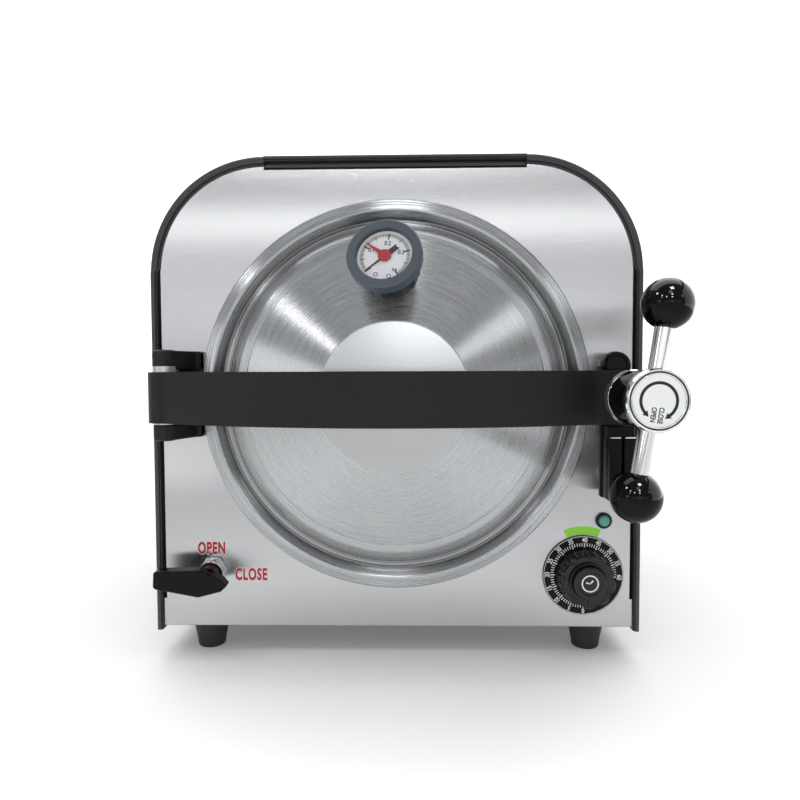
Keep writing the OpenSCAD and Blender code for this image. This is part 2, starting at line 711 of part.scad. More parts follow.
// The lever and the stem that it turns
module valve_lever() face_frame() at_valve() color("black") {
    disc(6.9, [9.3, 17]);
    disc(valve_stem_r, [-8, 9.4]);
    rotate([0, 0, -4.6]) translate([0, -1.9, 16]) linear_extrude(7.5) polygon([
        [15.1, 0], [11.4, 4.2], [-3.8, 9.6], [-33.4, 6.3], [-34.8, 4.9],
        [-34.8, -4.9], [-33.4, -6.3], [-3.8, -9.6], [11.4, -4.2]
    ]);
}

function drain_y() = valve_pos[1] + (valve_body_l - 6) * sin(valve_tilt);

// The pipe from the chamber's wall to the valve, aimed at the chamber's axis
module steam_branch(r) {
    z = -25;
    a = [valve_pos[0], valve_pos[1] + 25 * tan(valve_tilt), z];
    d = [0, axis_y, z] - a;
    u = d / norm(d);
    rod(a + 10 * u, a + (norm(d) - chamber_r - 0.4) * u, r);
}

module steam_pipes() face_frame() color("peru") {
    difference() {
        steam_branch(4);
        at_valve() valve_shell();
    }
    difference() {
        translate([valve_pos[0], drain_y()]) difference() {
            union() {
                disc(4, [rear_z, -30]);
                // spigot and lock nut behind the rear panel
                disc(spigot_r, [rear_z - spigot_l, rear_z]);
                translate([0, 0, rear_z - 4]) cylinder(r = 8.5, h = 4, $fn = 6);
            }
            disc(3, [rear_z - spigot_l - 1, rear_z + 10]);
        }
        at_valve() valve_shell();
    }
}

// Timer and lamp

module timer_dial() face_frame() translate([timer_pos[0], timer_pos[1]]) color("black")
    ring(4.5, dial_d / 2, [0, 1.5]);

module timer_knob() face_frame() translate([timer_pos[0], timer_pos[1]]) color("black") {
    r = knob_d / 2;
    difference() {
        rotate_extrude() polygon([
            [0, 1.8], [r, 1.8], [r, 4], [r - 0.6, 16], [r - 2, 18], [r - 5, 17.2],
            [11, 16.6], [9.6, 20.5], [7, 20.5], [6.2, 19.6], [0, 19.6]
        ]);
        for (i = [0:knob_flutes - 1]) rotate([0, 0, 90 + i * 360 / knob_flutes])
            translate([r + 3.6, 0, 4.5]) cylinder(r = 5.6, h = 20);
        // pointer groove, towards the zero at the foot of the dial
        translate([-0.7, -r - 1, 15.8]) cube([1.4, r - 11.5, 4]);
    }
    disc(3, [-12, 1.9]);
}

module timer_body() face_frame() translate([timer_pos[0], timer_pos[1]]) color("ivory") difference() {
    union() {
        translate([-22, -22, -38]) cube([44, 44, 36.4]);
        for (i = [-1:1]) translate([i * 12 - 3, -2, -46]) cube([6, 0.8, 9]);
    }
    disc(3.1, [-12.5, 0]);
}

module lamp_bezel() face_frame() translate([lamp_pos[0], lamp_pos[1]]) color("black") {
    difference() {
        union() {
            rotate_extrude() polygon([[0, 0], [5.6, 0], [5.6, 1.6], [4.6, 2.6], [0, 2.6]]);
            disc(4.2, [-24, 0.1]);
        }
        disc(3.9, [0.6, 5]);
    }
}

module lamp_lens() face_frame() translate([lamp_pos[0], lamp_pos[1]]) color("mediumseagreen")
    rotate_extrude() polygon([[0, 0.6], [3.9, 0.6], [3.9, 2.4], [3, 3.3], [0, 3.7]]);

// Rear fittings and wiring

module power_inlet() face_frame() translate([inlet_pos[0], inlet_pos[1], 0]) color("black") {
    difference() {
        union() {
            translate([-24, -14, rear_z]) cube([48, 28, 20]);
            translate([-27, -17, rear_z - 2]) cube([54, 34, 2]);
        }
        translate([-12.5, -9.5, rear_z - 3]) cube([25, 19, 17]);
    }
    for (x = [-7, 0, 7]) translate([x - 1, x == 0 ? 1.5 : -5, rear_z + 4]) cube([2, 4, 10.5]);
}

module safety_valve_body() face_frame() translate([0, safety_y]) color("goldenrod") {
    disc(5, [rear_z, -shell_l - 16]);
    difference() {
        union() {
            translate([0, 0, rear_z - 6]) cylinder(r = 10, h = 6, $fn = 6);
            disc(7.5, [rear_z - 16, rear_z - 6]);
        }
        disc(1.6, [rear_z - 17, rear_z - 8]);
    }
}

module safety_valve_ring() face_frame() translate([0, safety_y]) color("silver") {
    end = -case_d - rear_reach;
    disc(1.5, [end + 9, rear_z - 8.5]);
    translate([0, 0, end + 5]) difference() {
        rotate([0, 90, 0]) translate([0, 0, -1]) cylinder(r = 5, h = 2);
        rotate([0, 90, 0]) translate([0, 0, -2]) cylinder(r = 3.4, h = 4);
    }
}

module over_temperature_cutout() face_frame() translate([cutout_pos[0], cutout_pos[1]])
    color("black") {
        difference() {
            disc(6, [rear_z, rear_z + 18]);
            disc(3, [rear_z - 1, rear_z + 8]);
        }
        ring(3, 9, [rear_z - 2, rear_z]);
    }

module reset_button() face_frame() translate([cutout_pos[0], cutout_pos[1]]) color("firebrick")
    disc(2.9, [rear_z - 4.5, rear_z + 5]);

module terminal_block() face_frame() color("ivory") translate([82, base_y + panel_t, -345]) difference() {
    cube([52, 16, 18]);
    for (i = [0:4]) translate([6 + i * 10, 17, 9]) rotate([90, 0, 0]) cylinder(r = 3, h = 5);
}

module wire_harness() face_frame() color("dimgray") {
    y = foot_h + 11;
    path = [[108, y, -325.5], [118, y, -300], [126, y, -70], [126, y, -46.5], [126, y + 6, -42]];
    for (i = [0:len(path) - 2]) rod(path[i], path[i + 1], 2.6);
    // ties at the bends
    for (i = [1:len(path) - 2]) translate(path[i]) sphere(r = 3.6);
}

casing();
edge_trims();
front_panel();
rear_panel();
base_plate();
rubber_feet();
foot_screws();
case_screws();
chamber_flange();
chamber_shell();
chamber_end();
support_ring();
insulation_blanket();
chamber_saddles();
heater_element();
heater_glands();
tray_rack();
instrument_trays();
hinge_bracket();
hinge_pin();
hinge_spacers();
hinge_screws();
latch_keeper();
keeper_studs();
release_valve_body();
release_valve_nut();
steam_pipes();
timer_dial();
timer_body();
lamp_bezel();
lamp_lens();
power_inlet();
safety_valve_body();
over_temperature_cutout();
terminal_block();
wire_harness();
door_arm();
hinge_bushes();
door_lid();
lid_centre_plate();
door_gasket();
pivot_stud();
pivot_retainer();
spindle_nut();
gauge_stem();
gauge_case();
gauge_bezel();
gauge_dial();
gauge_lens();
lever_collar();
clamp_spindle();
lever_hub();
lever_rods();
ball_knobs();
valve_lever();
timer_knob();
gauge_needle();
gauge_set_pointer();
safety_valve_ring();
reset_button();
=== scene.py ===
"""Benchtop autoclave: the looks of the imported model, in its own frame."""

import math

import bmesh
import bpy
from mathutils import Matrix, Vector


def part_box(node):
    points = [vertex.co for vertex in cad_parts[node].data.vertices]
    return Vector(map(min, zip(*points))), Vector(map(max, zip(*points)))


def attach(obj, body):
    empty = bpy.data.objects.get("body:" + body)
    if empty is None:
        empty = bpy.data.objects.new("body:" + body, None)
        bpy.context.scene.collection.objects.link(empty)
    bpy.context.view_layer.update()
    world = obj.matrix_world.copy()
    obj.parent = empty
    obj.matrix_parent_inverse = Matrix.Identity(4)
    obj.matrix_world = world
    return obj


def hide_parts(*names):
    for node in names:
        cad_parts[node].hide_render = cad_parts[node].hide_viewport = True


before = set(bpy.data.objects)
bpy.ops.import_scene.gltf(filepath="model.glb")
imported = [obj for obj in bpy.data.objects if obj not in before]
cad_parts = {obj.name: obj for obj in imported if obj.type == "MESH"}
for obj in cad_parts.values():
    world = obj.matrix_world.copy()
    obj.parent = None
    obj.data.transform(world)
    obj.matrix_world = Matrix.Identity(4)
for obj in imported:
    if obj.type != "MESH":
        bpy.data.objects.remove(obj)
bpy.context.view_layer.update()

# Face frame: x to the right, y up from the bench, z out of the front panel, all in millimetres.
panel_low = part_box("front_panel")[0]
FRONT_Y = panel_low[1]
FOOT = panel_low[2] * 1000  # the case's lower edge; the feet reach from there to the bench
FACE = Matrix(((0.001, 0, 0, 0), (0, 0, -0.001, FRONT_Y), (0, 0.001, 0, 0), (0, 0, 0, 1)))


def middle(node):
    """The middle of a CAD node's box, in the face frame."""
    low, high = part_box(node)
    return FACE.inverted() @ Vector([(a + b) / 2 for a, b in zip(low, high)])


def at(x, y, z=0):
    return Matrix.Translation((x, y, z))


def turn(axis, degrees):
    return Matrix.Rotation(math.radians(degrees), 4, axis)


AXIS_Y = middle("door_lid").y
BOLT_X = middle("lever_collar").x
PIN = middle("hinge_pin")
TIMER_AT = middle("timer_dial")
LAMP_AT = middle("lamp_bezel")
ON_AXIS = FACE @ at(0, AXIS_Y)
ON_BOLT = FACE @ at(BOLT_X, AXIS_Y)
ROD_Z, LEVER_TURN = 84, -8.5
IN_LEVER = ON_BOLT @ at(0, 0, ROD_Z) @ turn("Z", LEVER_TURN)
VALVE_X, VALVE_Y, VALVE_TILT = -128.8, FOOT + 41, 5
ON_VALVE = FACE @ at(VALVE_X, VALVE_Y) @ turn("X", VALVE_TILT)
ON_TIMER = FACE @ at(TIMER_AT.x, TIMER_AT.y)
ON_LAMP = FACE @ at(LAMP_AT.x, LAMP_AT.y)

# The lid is flat out to CONE_R and then a cone. The gauge stands on the cone, a little turned and rolled.
LID_Z, CONE_R, GAUGE_OUT = 40, 49, 73.5
CONE_TILT = math.degrees(math.atan(20 / 55))
GAUGE_Z = LID_Z - (GAUGE_OUT - CONE_R) * math.tan(math.radians(CONE_TILT))
GAUGE_YAW, GAUGE_ROLL = -8, -5
ON_GAUGE = FACE @ at(0, AXIS_Y + GAUGE_OUT, GAUGE_Z)
ON_GAUGE = ON_GAUGE @ turn("Y", GAUGE_YAW) @ turn("X", -CONE_TILT) @ turn("Z", GAUGE_ROLL)
UPRIGHT = FACE @ turn("X", 90)  # outlines in x and z, extruded along -y

# ---------------------------------------------------------------- outlines and meshes


def rounded(points, closed=False, steps=5):
    """Points (u, v) or (u, v, radius): a corner with a radius becomes an arc."""
    out = []
    count = len(points)
    for i, p in enumerate(points):
        here = Vector(p[:2])
        if len(p) < 3 or (not closed and i in (0, count - 1)):
            out.append(here)
            continue
        back, ahead = Vector(points[i - 1][:2]) - here, Vector(points[(i + 1) % count][:2]) - here
        half = back.angle(ahead) / 2
        reach = min(p[2] / math.tan(half), 0.49 * back.length, 0.49 * ahead.length)
        radius = reach * math.tan(half)
        centre = here + (back.normalized() + ahead.normalized()).normalized() * (radius / math.sin(half))
        start = here + back.normalized() * reach - centre
        end = here + ahead.normalized() * reach - centre
        first = math.atan2(start.y, start.x)
        sweep = (math.atan2(end.y, end.x) - first + math.pi) % (2 * math.pi) - math.pi
        for k in range(steps + 1):
            a = first + sweep * k / steps
            out.append(centre + radius * Vector((math.cos(a), math.sin(a))))
    return out


def arc(x, y, r, start, end, steps=24):
    """Points on a circle from one angle to another, in degrees."""
    angles = [math.radians(start + (end - start) * k / steps) for k in range(steps + 1)]
    return [Vector((x + r * math.cos(a), y + r * math.sin(a))) for a in angles]


def circle(r, x=0, y=0, steps=64):
    return arc(x, y, r, 0, 360 - 360 / steps, steps - 1)


def mirrored(points, middle=0, axis=0):
    """Points and then their images in reverse, about a middle across an axis (0 is x, 1 is y)."""
    images = [list(p) for p in reversed(points)]
    for p in images:
        p[axis] = 2 * middle - p[axis]
    return [*points, *images]


def to_mesh(bm):
    bmesh.ops.recalc_face_normals(bm, faces=bm.faces)
    mesh = bpy.data.meshes.new("piece")
    bm.to_mesh(mesh)
    bm.free()
    return mesh


def lathe(place, profile, seg):
    """A profile of (radius, z) turned about z."""
    bm = bmesh.new()
    rings = []
    for r, z in profile:
        if r < 1e-6:
            rings.append([bm.verts.new(place @ Vector((0, 0, z)))])
            continue
        spin = [2 * math.pi * k / seg for k in range(seg)]
        rings.append([bm.verts.new(place @ Vector((r * math.cos(a), r * math.sin(a), z))) for a in spin])
    for one, two in zip(rings, rings[1:]):
        for k in range(seg):
            m = (k + 1) % seg
            corners = [one[k % len(one)], one[m % len(one)], two[m % len(two)], two[k % len(two)]]
            unique = list(dict.fromkeys(corners))
            if len(unique) > 2:
                bm.faces.new(unique)
    return to_mesh(bm)


def surface(rows, close_rows=False, close_ends=False):
    """A skin over rows of world points. Each row can be a closed ring, and the first and last row capped."""
    bm = bmesh.new()
    grid = [[bm.verts.new(p) for p in row] for row in rows]
    wide = len(rows[0])
    for one, two in zip(grid, grid[1:]):
        for k in range(wide if close_rows else wide - 1):
            m = (k + 1) % wide
            bm.faces.new((one[k], one[m], two[m], two[k]))
    if close_ends:
        bm.faces.new(grid[0])
        bm.faces.new(grid[-1])
    return to_mesh(bm)


def taken(obj):
    """The mesh of an object with its modifiers, without the object."""
    bpy.context.scene.collection.objects.link(obj)
    graph = bpy.context.evaluated_depsgraph_get()
    mesh = bpy.data.meshes.new_from_object(obj.evaluated_get(graph))
    bpy.data.objects.remove(obj)
    return mesh


def prism(place, outline, low, high, bevel, holes=(), steps=3):
    """A plate from a closed outline, between two heights, with rounded edges."""
    curve = bpy.data.curves.new("outline", "CURVE")
    curve.dimensions, curve.fill_mode = "2D", "BOTH"
    for loop in (outline, *holes):
        spline = curve.splines.new("POLY")
        spline.points.add(len(loop) - 1)
        for point, p in zip(spline.points, loop):
            point.co = (p[0], p[1], 0, 1)
        spline.use_cyclic_u = True
    bevel = min(bevel, (high - low) / 2 - 0.001)
    curve.extrude = (high - low) / 2 - bevel
    curve.bevel_depth, curve.bevel_resolution, curve.offset = bevel, steps, -bevel
    mesh = taken(bpy.data.objects.new("outline", curve))
    mesh.transform(place @ at(0, 0, (low + high) / 2))
    return mesh


def box(place, low, high, bevel=0.4):
    outline = [(low[0], low[1]), (high[0], low[1]), (high[0], high[1]), (low[0], high[1])]
    return prism(place, outline, low[2], high[2], bevel)


def lettering(place, words, size, wide, bold, thick=0.05, spacing=1.0):
    curve = bpy.data.curves.new("letters", "FONT")
    curve.body, curve.size, curve.resolution_u = words, size, 5
    curve.align_x, curve.align_y = "CENTER", "CENTER"
    curve.offset, curve.extrude, curve.space_character = bold, thick / 2, spacing
    mesh = taken(bpy.data.objects.new("letters", curve))
    mesh.transform(place @ Matrix.Diagonal((wide, 1, 1, 1)))
    return mesh


def modified(mesh, kind, **settings):
    obj = bpy.data.objects.new("work", mesh)
    modifier = obj.modifiers.new("work", kind)
    for key, value in settings.items():
        setattr(modifier, key, value)
    return taken(obj)


def combined(mesh, tool, operation):
    helper = bpy.data.objects.new("tool", tool)
    bpy.context.scene.collection.objects.link(helper)
    out = modified(mesh, "BOOLEAN", operation=operation, solver="EXACT", object=helper)
    bpy.data.objects.remove(helper)
    return out


def softened(mesh, width, segments, limit=50):
    """Rounds the edges of a solid that are sharper than a limit in degrees."""
    bm = bmesh.new()
    bm.from_mesh(mesh)
    bmesh.ops.remove_doubles(bm, verts=bm.verts, dist=2e-6)
    bmesh.ops.dissolve_limit(bm, angle_limit=math.radians(0.5), verts=bm.verts, edges=bm.edges)
    mesh = to_mesh(bm)
    return modified(
        mesh, "BEVEL", width=width / 1000, segments=segments, limit_method="ANGLE",
        angle_limit=math.radians(limit), use_clamp_overlap=True,
    )


def merged(meshes):
    bm = bmesh.new()
    for mesh in meshes:
        bm.from_mesh(mesh)
    return to_mesh(bm)


def piece(name, meshes, material, body, nodes=(), angle=35):
    """One shown piece that rides on a CAD body and stands for CAD nodes. Edges over angle stay sharp."""
    mesh = merged(meshes) if isinstance(meshes, list) else meshes
    mesh.name = name
    mesh.polygons.foreach_set("use_smooth", [True] * len(mesh.polygons))
    mesh.set_sharp_from_angle(angle=math.radians(angle))
    mesh.materials.clear()
    mesh.materials.append(material)
    obj = bpy.data.objects.new(name, mesh)
    bpy.context.scene.collection.objects.link(obj)
    weights = obj.modifiers.new("normals", "WEIGHTED_NORMAL")
    weights.keep_sharp = True
    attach(obj, body)
    if nodes:
        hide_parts(*nodes)
    return obj


# ---------------------------------------------------------------- materials


class Nodes:
    """Small helper around a material's node tree. Underscores stand for spaces in the names of inputs."""

    def __init__(self, name):
        self.material = bpy.data.materials.new(name)
        self.material.use_nodes = True
        self.tree = self.material.node_tree
        self.shader = next(n for n in self.tree.nodes if n.type == "BSDF_PRINCIPLED")
        self.place = self.add("ShaderNodeTexCoord").outputs["Object"]

    def add(self, kind, **values):
        node = self.tree.nodes.new(kind)
        for key, value in values.items():
            if hasattr(node, key):
                setattr(node, key, value)
            else:
                node.inputs[key.replace("_", " ")].default_value = value
        return node

    def link(self, a, b):
        self.tree.links.new(a, b)

    def math(self, operation, a, b=None):
        """A sum on one or two values, each a number or a socket."""
        node = self.add("ShaderNodeMath", operation=operation)
        for socket, value in zip(node.inputs, (a, b)):
            if value is None:
                continue
            if isinstance(value, (int, float)):
                socket.default_value = value
            else:
                self.link(value, socket)
        return node.outputs[0]

    def stretched(self, scale):
        node = self.add("ShaderNodeMapping", Scale=scale)
        self.link(self.place, node.inputs["Vector"])
        return node.outputs["Vector"]

    def noise(self, vector, detail, roughness=0.55):
        node = self.add("ShaderNodeTexNoise", Scale=1.0, Detail=detail, Roughness=roughness)
        self.link(vector, node.inputs["Vector"])
        return node.outputs["Fac"]

    def spread(self, value, low, high, source=(0.3, 0.7)):
        """A value stretched from its source range to low and high."""
        node = self.add("ShaderNodeMapRange")
        self.link(value, node.inputs["Value"])
        node.inputs["From Min"].default_value, node.inputs["From Max"].default_value = source
        node.inputs["To Min"].default_value, node.inputs["To Max"].default_value = low, high
        return node.outputs["Result"]

    def tint(self, value, dark, light, shade=None):
        """The base colour, from dark to light with a value, times a shade if there is one."""
        node = self.add("ShaderNodeMix", data_type="RGBA")
        self.link(value, node.inputs[0])
        node.inputs[6].default_value, node.inputs[7].default_value = (*dark, 1), (*light, 1)
        if shade:
            shaded = self.add("ShaderNodeVectorMath", operation="MULTIPLY")
            self.link(node.outputs[2], shaded.inputs[0])
            self.link(shade, shaded.inputs[1])
            self.link(shaded.outputs[0], self.shader.inputs["Base Color"])
        else:
            self.link(node.outputs[2], self.shader.inputs["Base Color"])

    def ramp(self, value, stops):
        """A grey level along a value, from (value, level) stops."""
        node = self.add("ShaderNodeValToRGB")
        ends = stops[0][0], stops[-1][0]
        scaled = self.add("ShaderNodeMapRange")
        self.link(value, scaled.inputs["Value"])
        scaled.inputs["From Min"].default_value, scaled.inputs["From Max"].default_value = ends
        self.link(scaled.outputs["Result"], node.inputs["Fac"])
        while len(node.color_ramp.elements) < len(stops):
            node.color_ramp.elements.new(0.5)
        for element, (spot, level) in zip(node.color_ramp.elements, stops):
            element.position = (spot - ends[0]) / (ends[1] - ends[0])
            element.color = (level, level, level, 1)
        return node.outputs["Color"]

    def bump(self, value, strength, depth):
        node = self.add("ShaderNodeBump", Strength=strength, Distance=depth)
        self.link(value, node.inputs["Height"])
        self.link(node.outputs["Normal"], self.shader.inputs["Normal"])

    def set(self, **values):
        for key, value in values.items():
            self.shader.inputs[key.replace("_", " ")].default_value = value


def darker_and_lighter(colour, less, more):
    """A colour made darker and lighter by two shares of itself."""
    return tuple(c * (1 - less) for c in colour), tuple(min(1, c * (1 + more)) for c in colour)


def plain(name, colour, rough, metal=0.0, grain=900, depth=0.00002, strength=0.3, vary=0.15, **more):
    """A finish with a fine grain in its relief, and slight changes of tone and gloss."""
    n = Nodes(name)
    broad = n.noise(n.stretched((14,) * 3), detail=2)
    n.tint(n.spread(broad, 0, 1), *darker_and_lighter(colour, vary, vary))
    n.link(n.spread(broad, rough * 0.92, rough * 1.08), n.shader.inputs["Roughness"])
    if strength:
        n.bump(n.noise(n.stretched((grain,) * 3), detail=2), strength, depth)
    n.set(Metallic=metal, **more)
    return n.material


def sheet_brushed(name, colour, rough, aniso, scale=(18, 18, 2600), depth=0.000012):
    """Sheet steel with straight brushing; the smear follows a tangent around the upright."""
    n = Nodes(name)
    lines = n.noise(n.stretched(scale), detail=4, roughness=0.7)
    speck = n.noise(n.stretched((700,) * 3), detail=1)
    both = n.math("ADD", n.math("MULTIPLY", lines, 0.7), n.math("MULTIPLY", speck, 0.3))
    n.tint(n.spread(both, 0, 1), *darker_and_lighter(colour, 0.06, 0.05))
    n.link(n.spread(both, rough * 0.9, rough * 1.12), n.shader.inputs["Roughness"])
    n.bump(both, 0.25, depth)
    tangent = n.add("ShaderNodeTangent", direction_type="RADIAL", axis="Z")
    n.link(tangent.outputs[0], n.shader.inputs["Tangent"])
    n.set(Metallic=1.0, Anisotropic=aniso)
    return n.material


def spun(name, colour, rough, centre, aniso, rings=2300, depth=0.000015, strength=0.35, vary=0.1, painted_light_and_shade=None):
    """Steel brushed in rings about an axis along Y through a centre (x, z), with painted light and shade for
    each radius when given.
    """
    n = Nodes(name)
    split = n.add("ShaderNodeSeparateXYZ")
    n.link(n.place, split.inputs[0])
    x = n.math("SUBTRACT", split.outputs[0], centre[0])
    z = n.math("SUBTRACT", split.outputs[2], centre[1])
    radius = n.math("SQRT", n.math("ADD", n.math("MULTIPLY", x, x), n.math("MULTIPLY", z, z)))
    safe = n.math("MAXIMUM", radius, 0.001)

    def rings_of(count, around):
        place = n.add("ShaderNodeCombineXYZ")
        n.link(n.math("MULTIPLY", radius, count), place.inputs[0])
        n.link(n.math("MULTIPLY", n.math("DIVIDE", x, safe), around), place.inputs[1])
        n.link(n.math("MULTIPLY", n.math("DIVIDE", z, safe), around), place.inputs[2])
        return n.noise(place.outputs[0], detail=2, roughness=0.6)

    fine, coarse = rings_of(rings, 3.0), rings_of(rings * 0.35, 1.2)
    lines = n.math("ADD", n.math("MULTIPLY", fine, 0.8), n.math("MULTIPLY", coarse, 0.2))
    # painted light and shade by radius, multiplied into the base colour
    shade = n.ramp(radius, painted_light_and_shade) if painted_light_and_shade else None
    n.tint(n.spread(lines, 0, 1), *darker_and_lighter(colour, vary, vary), shade)
    n.link(n.spread(lines, rough * 0.85, rough * 1.2), n.shader.inputs["Roughness"])
    n.bump(lines, strength, depth)
    tangent = n.add("ShaderNodeTangent", direction_type="RADIAL", axis="Y")
    n.link(tangent.outputs[0], n.shader.inputs["Tangent"])
    n.set(Metallic=1.0, Anisotropic=aniso, Anisotropic_Rotation=0.25)
    return n.material


AXIS_XZ = (0.0, AXIS_Y / 1000)
PANEL = sheet_brushed("brushed_steel", (0.485, 0.49, 0.5), 0.25, 0.96, depth=0.000008)
SHEET = sheet_brushed("plain_sheet", (0.38, 0.385, 0.39), 0.38, 0.3)
# (radius in metres, tone) from the cone's edge over the bend, the groove and the rim; the tones are painted
# light and shade:
# darker over the bend, a painted highlight line and then a dark line at the groove's edge, a darker groove
# and a dark outline at the rim's edge
LID_PAINTED_LIGHT_AND_SHADE = [
    (0.096, 1.0), (0.1035, 0.92), (0.106, 0.72), (0.1152, 0.68), (0.1156, 1.3), (0.1159, 1.3),
    (0.1161, 0.08), (0.1166, 0.08), (0.1169, 0.45), (0.1196, 0.42), (0.1216, 0.95), (0.1309, 0.95),
    (0.1316, 0.25)]
LID = spun("spun_steel", (0.47, 0.48, 0.49), 0.27, AXIS_XZ, 0.95, strength=0.25, vary=0.13, painted_light_and_shade=LID_PAINTED_LIGHT_AND_SHADE)
PLATE = plain("plate_steel", (0.53, 0.54, 0.55), 0.21, metal=1.0, grain=500, depth=0.000002, strength=0.1,
              vary=0.02)
CHAMBER = spun("chamber_steel", (0.55, 0.56, 0.56), 0.3, AXIS_XZ, 0.4, rings=1500)
TRIM = plain("trim_paint", (0.052, 0.053, 0.056), 0.36, grain=1300, depth=0.00003, strength=0.35,
             Specular_IOR_Level=0.3)
CASE = plain("case_paint", (0.03, 0.032, 0.035), 0.45, grain=1300, depth=0.00003, strength=0.35)
POWDER = plain("black_paint", (0.008, 0.0085, 0.0095), 0.5, grain=1500, depth=0.00005, strength=0.5,
               Specular_IOR_Level=0.28)
GLOSS = plain("black_gloss", (0.0015, 0.0015, 0.002), 0.05, strength=0, Specular_IOR_Level=0.14)
SATIN = plain("black_satin", (0.002, 0.002, 0.0025), 0.26, grain=900, depth=0.00001, strength=0.2,
              Specular_IOR_Level=0.14)
CHROME = plain("chrome", (0.8, 0.81, 0.82), 0.09, metal=1.0, strength=0, vary=0.02)
STEEL = plain("screw_steel", (0.55, 0.55, 0.56), 0.28, metal=1.0, grain=2500, depth=0.00001, strength=0.2)
RUBBER = plain("foot_rubber", (0.014, 0.014, 0.015), 0.62, grain=800, depth=0.00004, strength=0.4)
BRIGHT = plain("bright_nut", (0.62, 0.62, 0.63), 0.24, metal=1.0, grain=2500, depth=0.00001, strength=0.1)
BRASS = plain("brass", (0.6, 0.43, 0.17), 0.28, metal=1.0, grain=2000, depth=0.00001, strength=0.2)
BRONZE = plain("bronze", (0.42, 0.25, 0.12), 0.42, metal=1.0, grain=2600, depth=0.00002, strength=0.3)
HEATER = plain("heater_steel", (0.2, 0.19, 0.18), 0.4, metal=1.0, grain=600, strength=0.2)
BLANKET = plain("blanket", (0.68, 0.63, 0.52), 0.95, grain=260, depth=0.0006, strength=0.7)
GASKET = plain("gasket", (0.75, 0.75, 0.72), 0.5, grain=700, depth=0.00001, Subsurface_Weight=0.05)
IVORY = plain("body_plastic", (0.7, 0.66, 0.55), 0.42, grain=900, depth=0.00002)
GAUGE_BLACK = plain("gauge_black", (0.008, 0.0085, 0.01), 0.3, grain=1200, depth=0.00002)
BEZEL = plain("gauge_bezel_paint", (0.062, 0.08, 0.1), 0.33, grain=1800, depth=0.00001, strength=0.2,
              vary=0.06)
FACE_WHITE = plain("gauge_face", (0.94, 0.95, 0.98), 0.4, strength=0, vary=0.02)
INK = plain("needle_black", (0.005, 0.005, 0.006), 0.4, strength=0, vary=0.05)
WHITE_INK = plain("dial_print", (0.8, 0.8, 0.8), 0.5, strength=0, vary=0.02)
RED = plain("pointer_red", (0.5, 0.012, 0.02), 0.28, strength=0, vary=0.05)
RED_INK = plain("printed_red", (0.42, 0.008, 0.012), 0.45, strength=0, vary=0.08)
GREEN_INK = plain("printed_green", (0.26, 0.66, 0.04), 0.45, strength=0, vary=0.04)
KNOB = plain("knob_plastic", (0.004, 0.004, 0.0045), 0.24, grain=1600, depth=0.00001, strength=0.15,
             Specular_IOR_Level=0.4)
DIAL = plain("dial_black", (0.003, 0.003, 0.0035), 0.35, strength=0, Specular_IOR_Level=0.15)
PLASTIC = plain("fitting_plastic", (0.005, 0.005, 0.0055), 0.3, grain=1000, depth=0.00003,
                Specular_IOR_Level=0.3)
BUTTON = plain("button_red", (0.45, 0.02, 0.015), 0.35, strength=0)
SLEEVE = plain("wire_sleeve", (0.03, 0.03, 0.033), 0.7, grain=900, depth=0.0001, strength=0.6)
LAMP = plain("lamp_green", (0.05, 0.34, 0.25), 0.12, strength=0, vary=0.25, Coat_Weight=0.5)
LABEL = plain("cap_label", (0.9, 0.91, 0.91), 0.34, metal=0.1, strength=0, vary=0.02)
GLASS = plain("gauge_glass", (0.3, 0.33, 0.35), 0.03, strength=0, vary=0.0, Alpha=0.06, IOR=1.5)

# CAD nodes that are shown as they are and only get a finish
for node, finish in {
    "rear_panel": SHEET, "base_plate": SHEET, "foot_screws": STEEL, "case_screws": STEEL,
    "chamber_flange": CHAMBER, "chamber_shell": CHAMBER, "chamber_end": CHAMBER, "support_ring": SHEET,
    "insulation_blanket": BLANKET, "chamber_saddles": SHEET, "heater_element": HEATER,
    "heater_glands": BRASS, "tray_rack": CHROME, "instrument_trays": CHAMBER, "hinge_screws": POWDER,
    "release_valve_body": STEEL, "steam_pipes": BRONZE, "timer_body": IVORY, "power_inlet": PLASTIC,
    "safety_valve_body": BRASS, "over_temperature_cutout": PLASTIC, "terminal_block": IVORY,
    "wire_harness": SLEEVE, "hinge_bushes": BRONZE, "pivot_stud": STEEL, "pivot_retainer": STEEL,
    "spindle_nut": BRONZE, "gauge_stem": STEEL, "clamp_spindle": STEEL, "safety_valve_ring": STEEL,
    "reset_button": BUTTON, "hinge_spacers": STEEL, "door_gasket": GASKET,
}.items():
    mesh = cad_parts[node].data
    mesh.materials.clear()
    mesh.materials.append(finish)

# ---------------------------------------------------------------- case

CASE_R, CASE_HW, TOP = 80, 170, FOOT + 328
STEP_H = 20  # the front panel is narrower above this height
PANEL_HOLE_R = 118.5
# width of the edge trim and of the band on its face, at each kind of place along the arch
TRIM_WIDTHS = {"side": (4.2, 3.2), "corner": (6.6, 5.0), "top": (3.2, 2.2)}


def arch_stations(steps=28):
    """Places around the arch from lower right to lower left: a point, its outward normal and its kind."""
    hw, r = CASE_HW, CASE_R
    out = [((hw, FOOT), (1, 0), "side")]
    for sx, start in ((1, 0), (-1, 90)):
        for k in range(steps + 1):
            a = math.radians(start + 90 * k / steps)
            n = (math.cos(a), math.sin(a))
            kind = "side" if abs(n[1]) < 0.01 else "corner"
            out.append(((sx * (hw - r) + r * n[0], TOP - r + r * n[1]), n, kind))
        if sx > 0:
            out += [((x, TOP), (0, 1), "top") for x in (hw - r - 0.01, r - hw + 0.01)]
    return out + [((-hw, FOOT), (-1, 0), "side")]


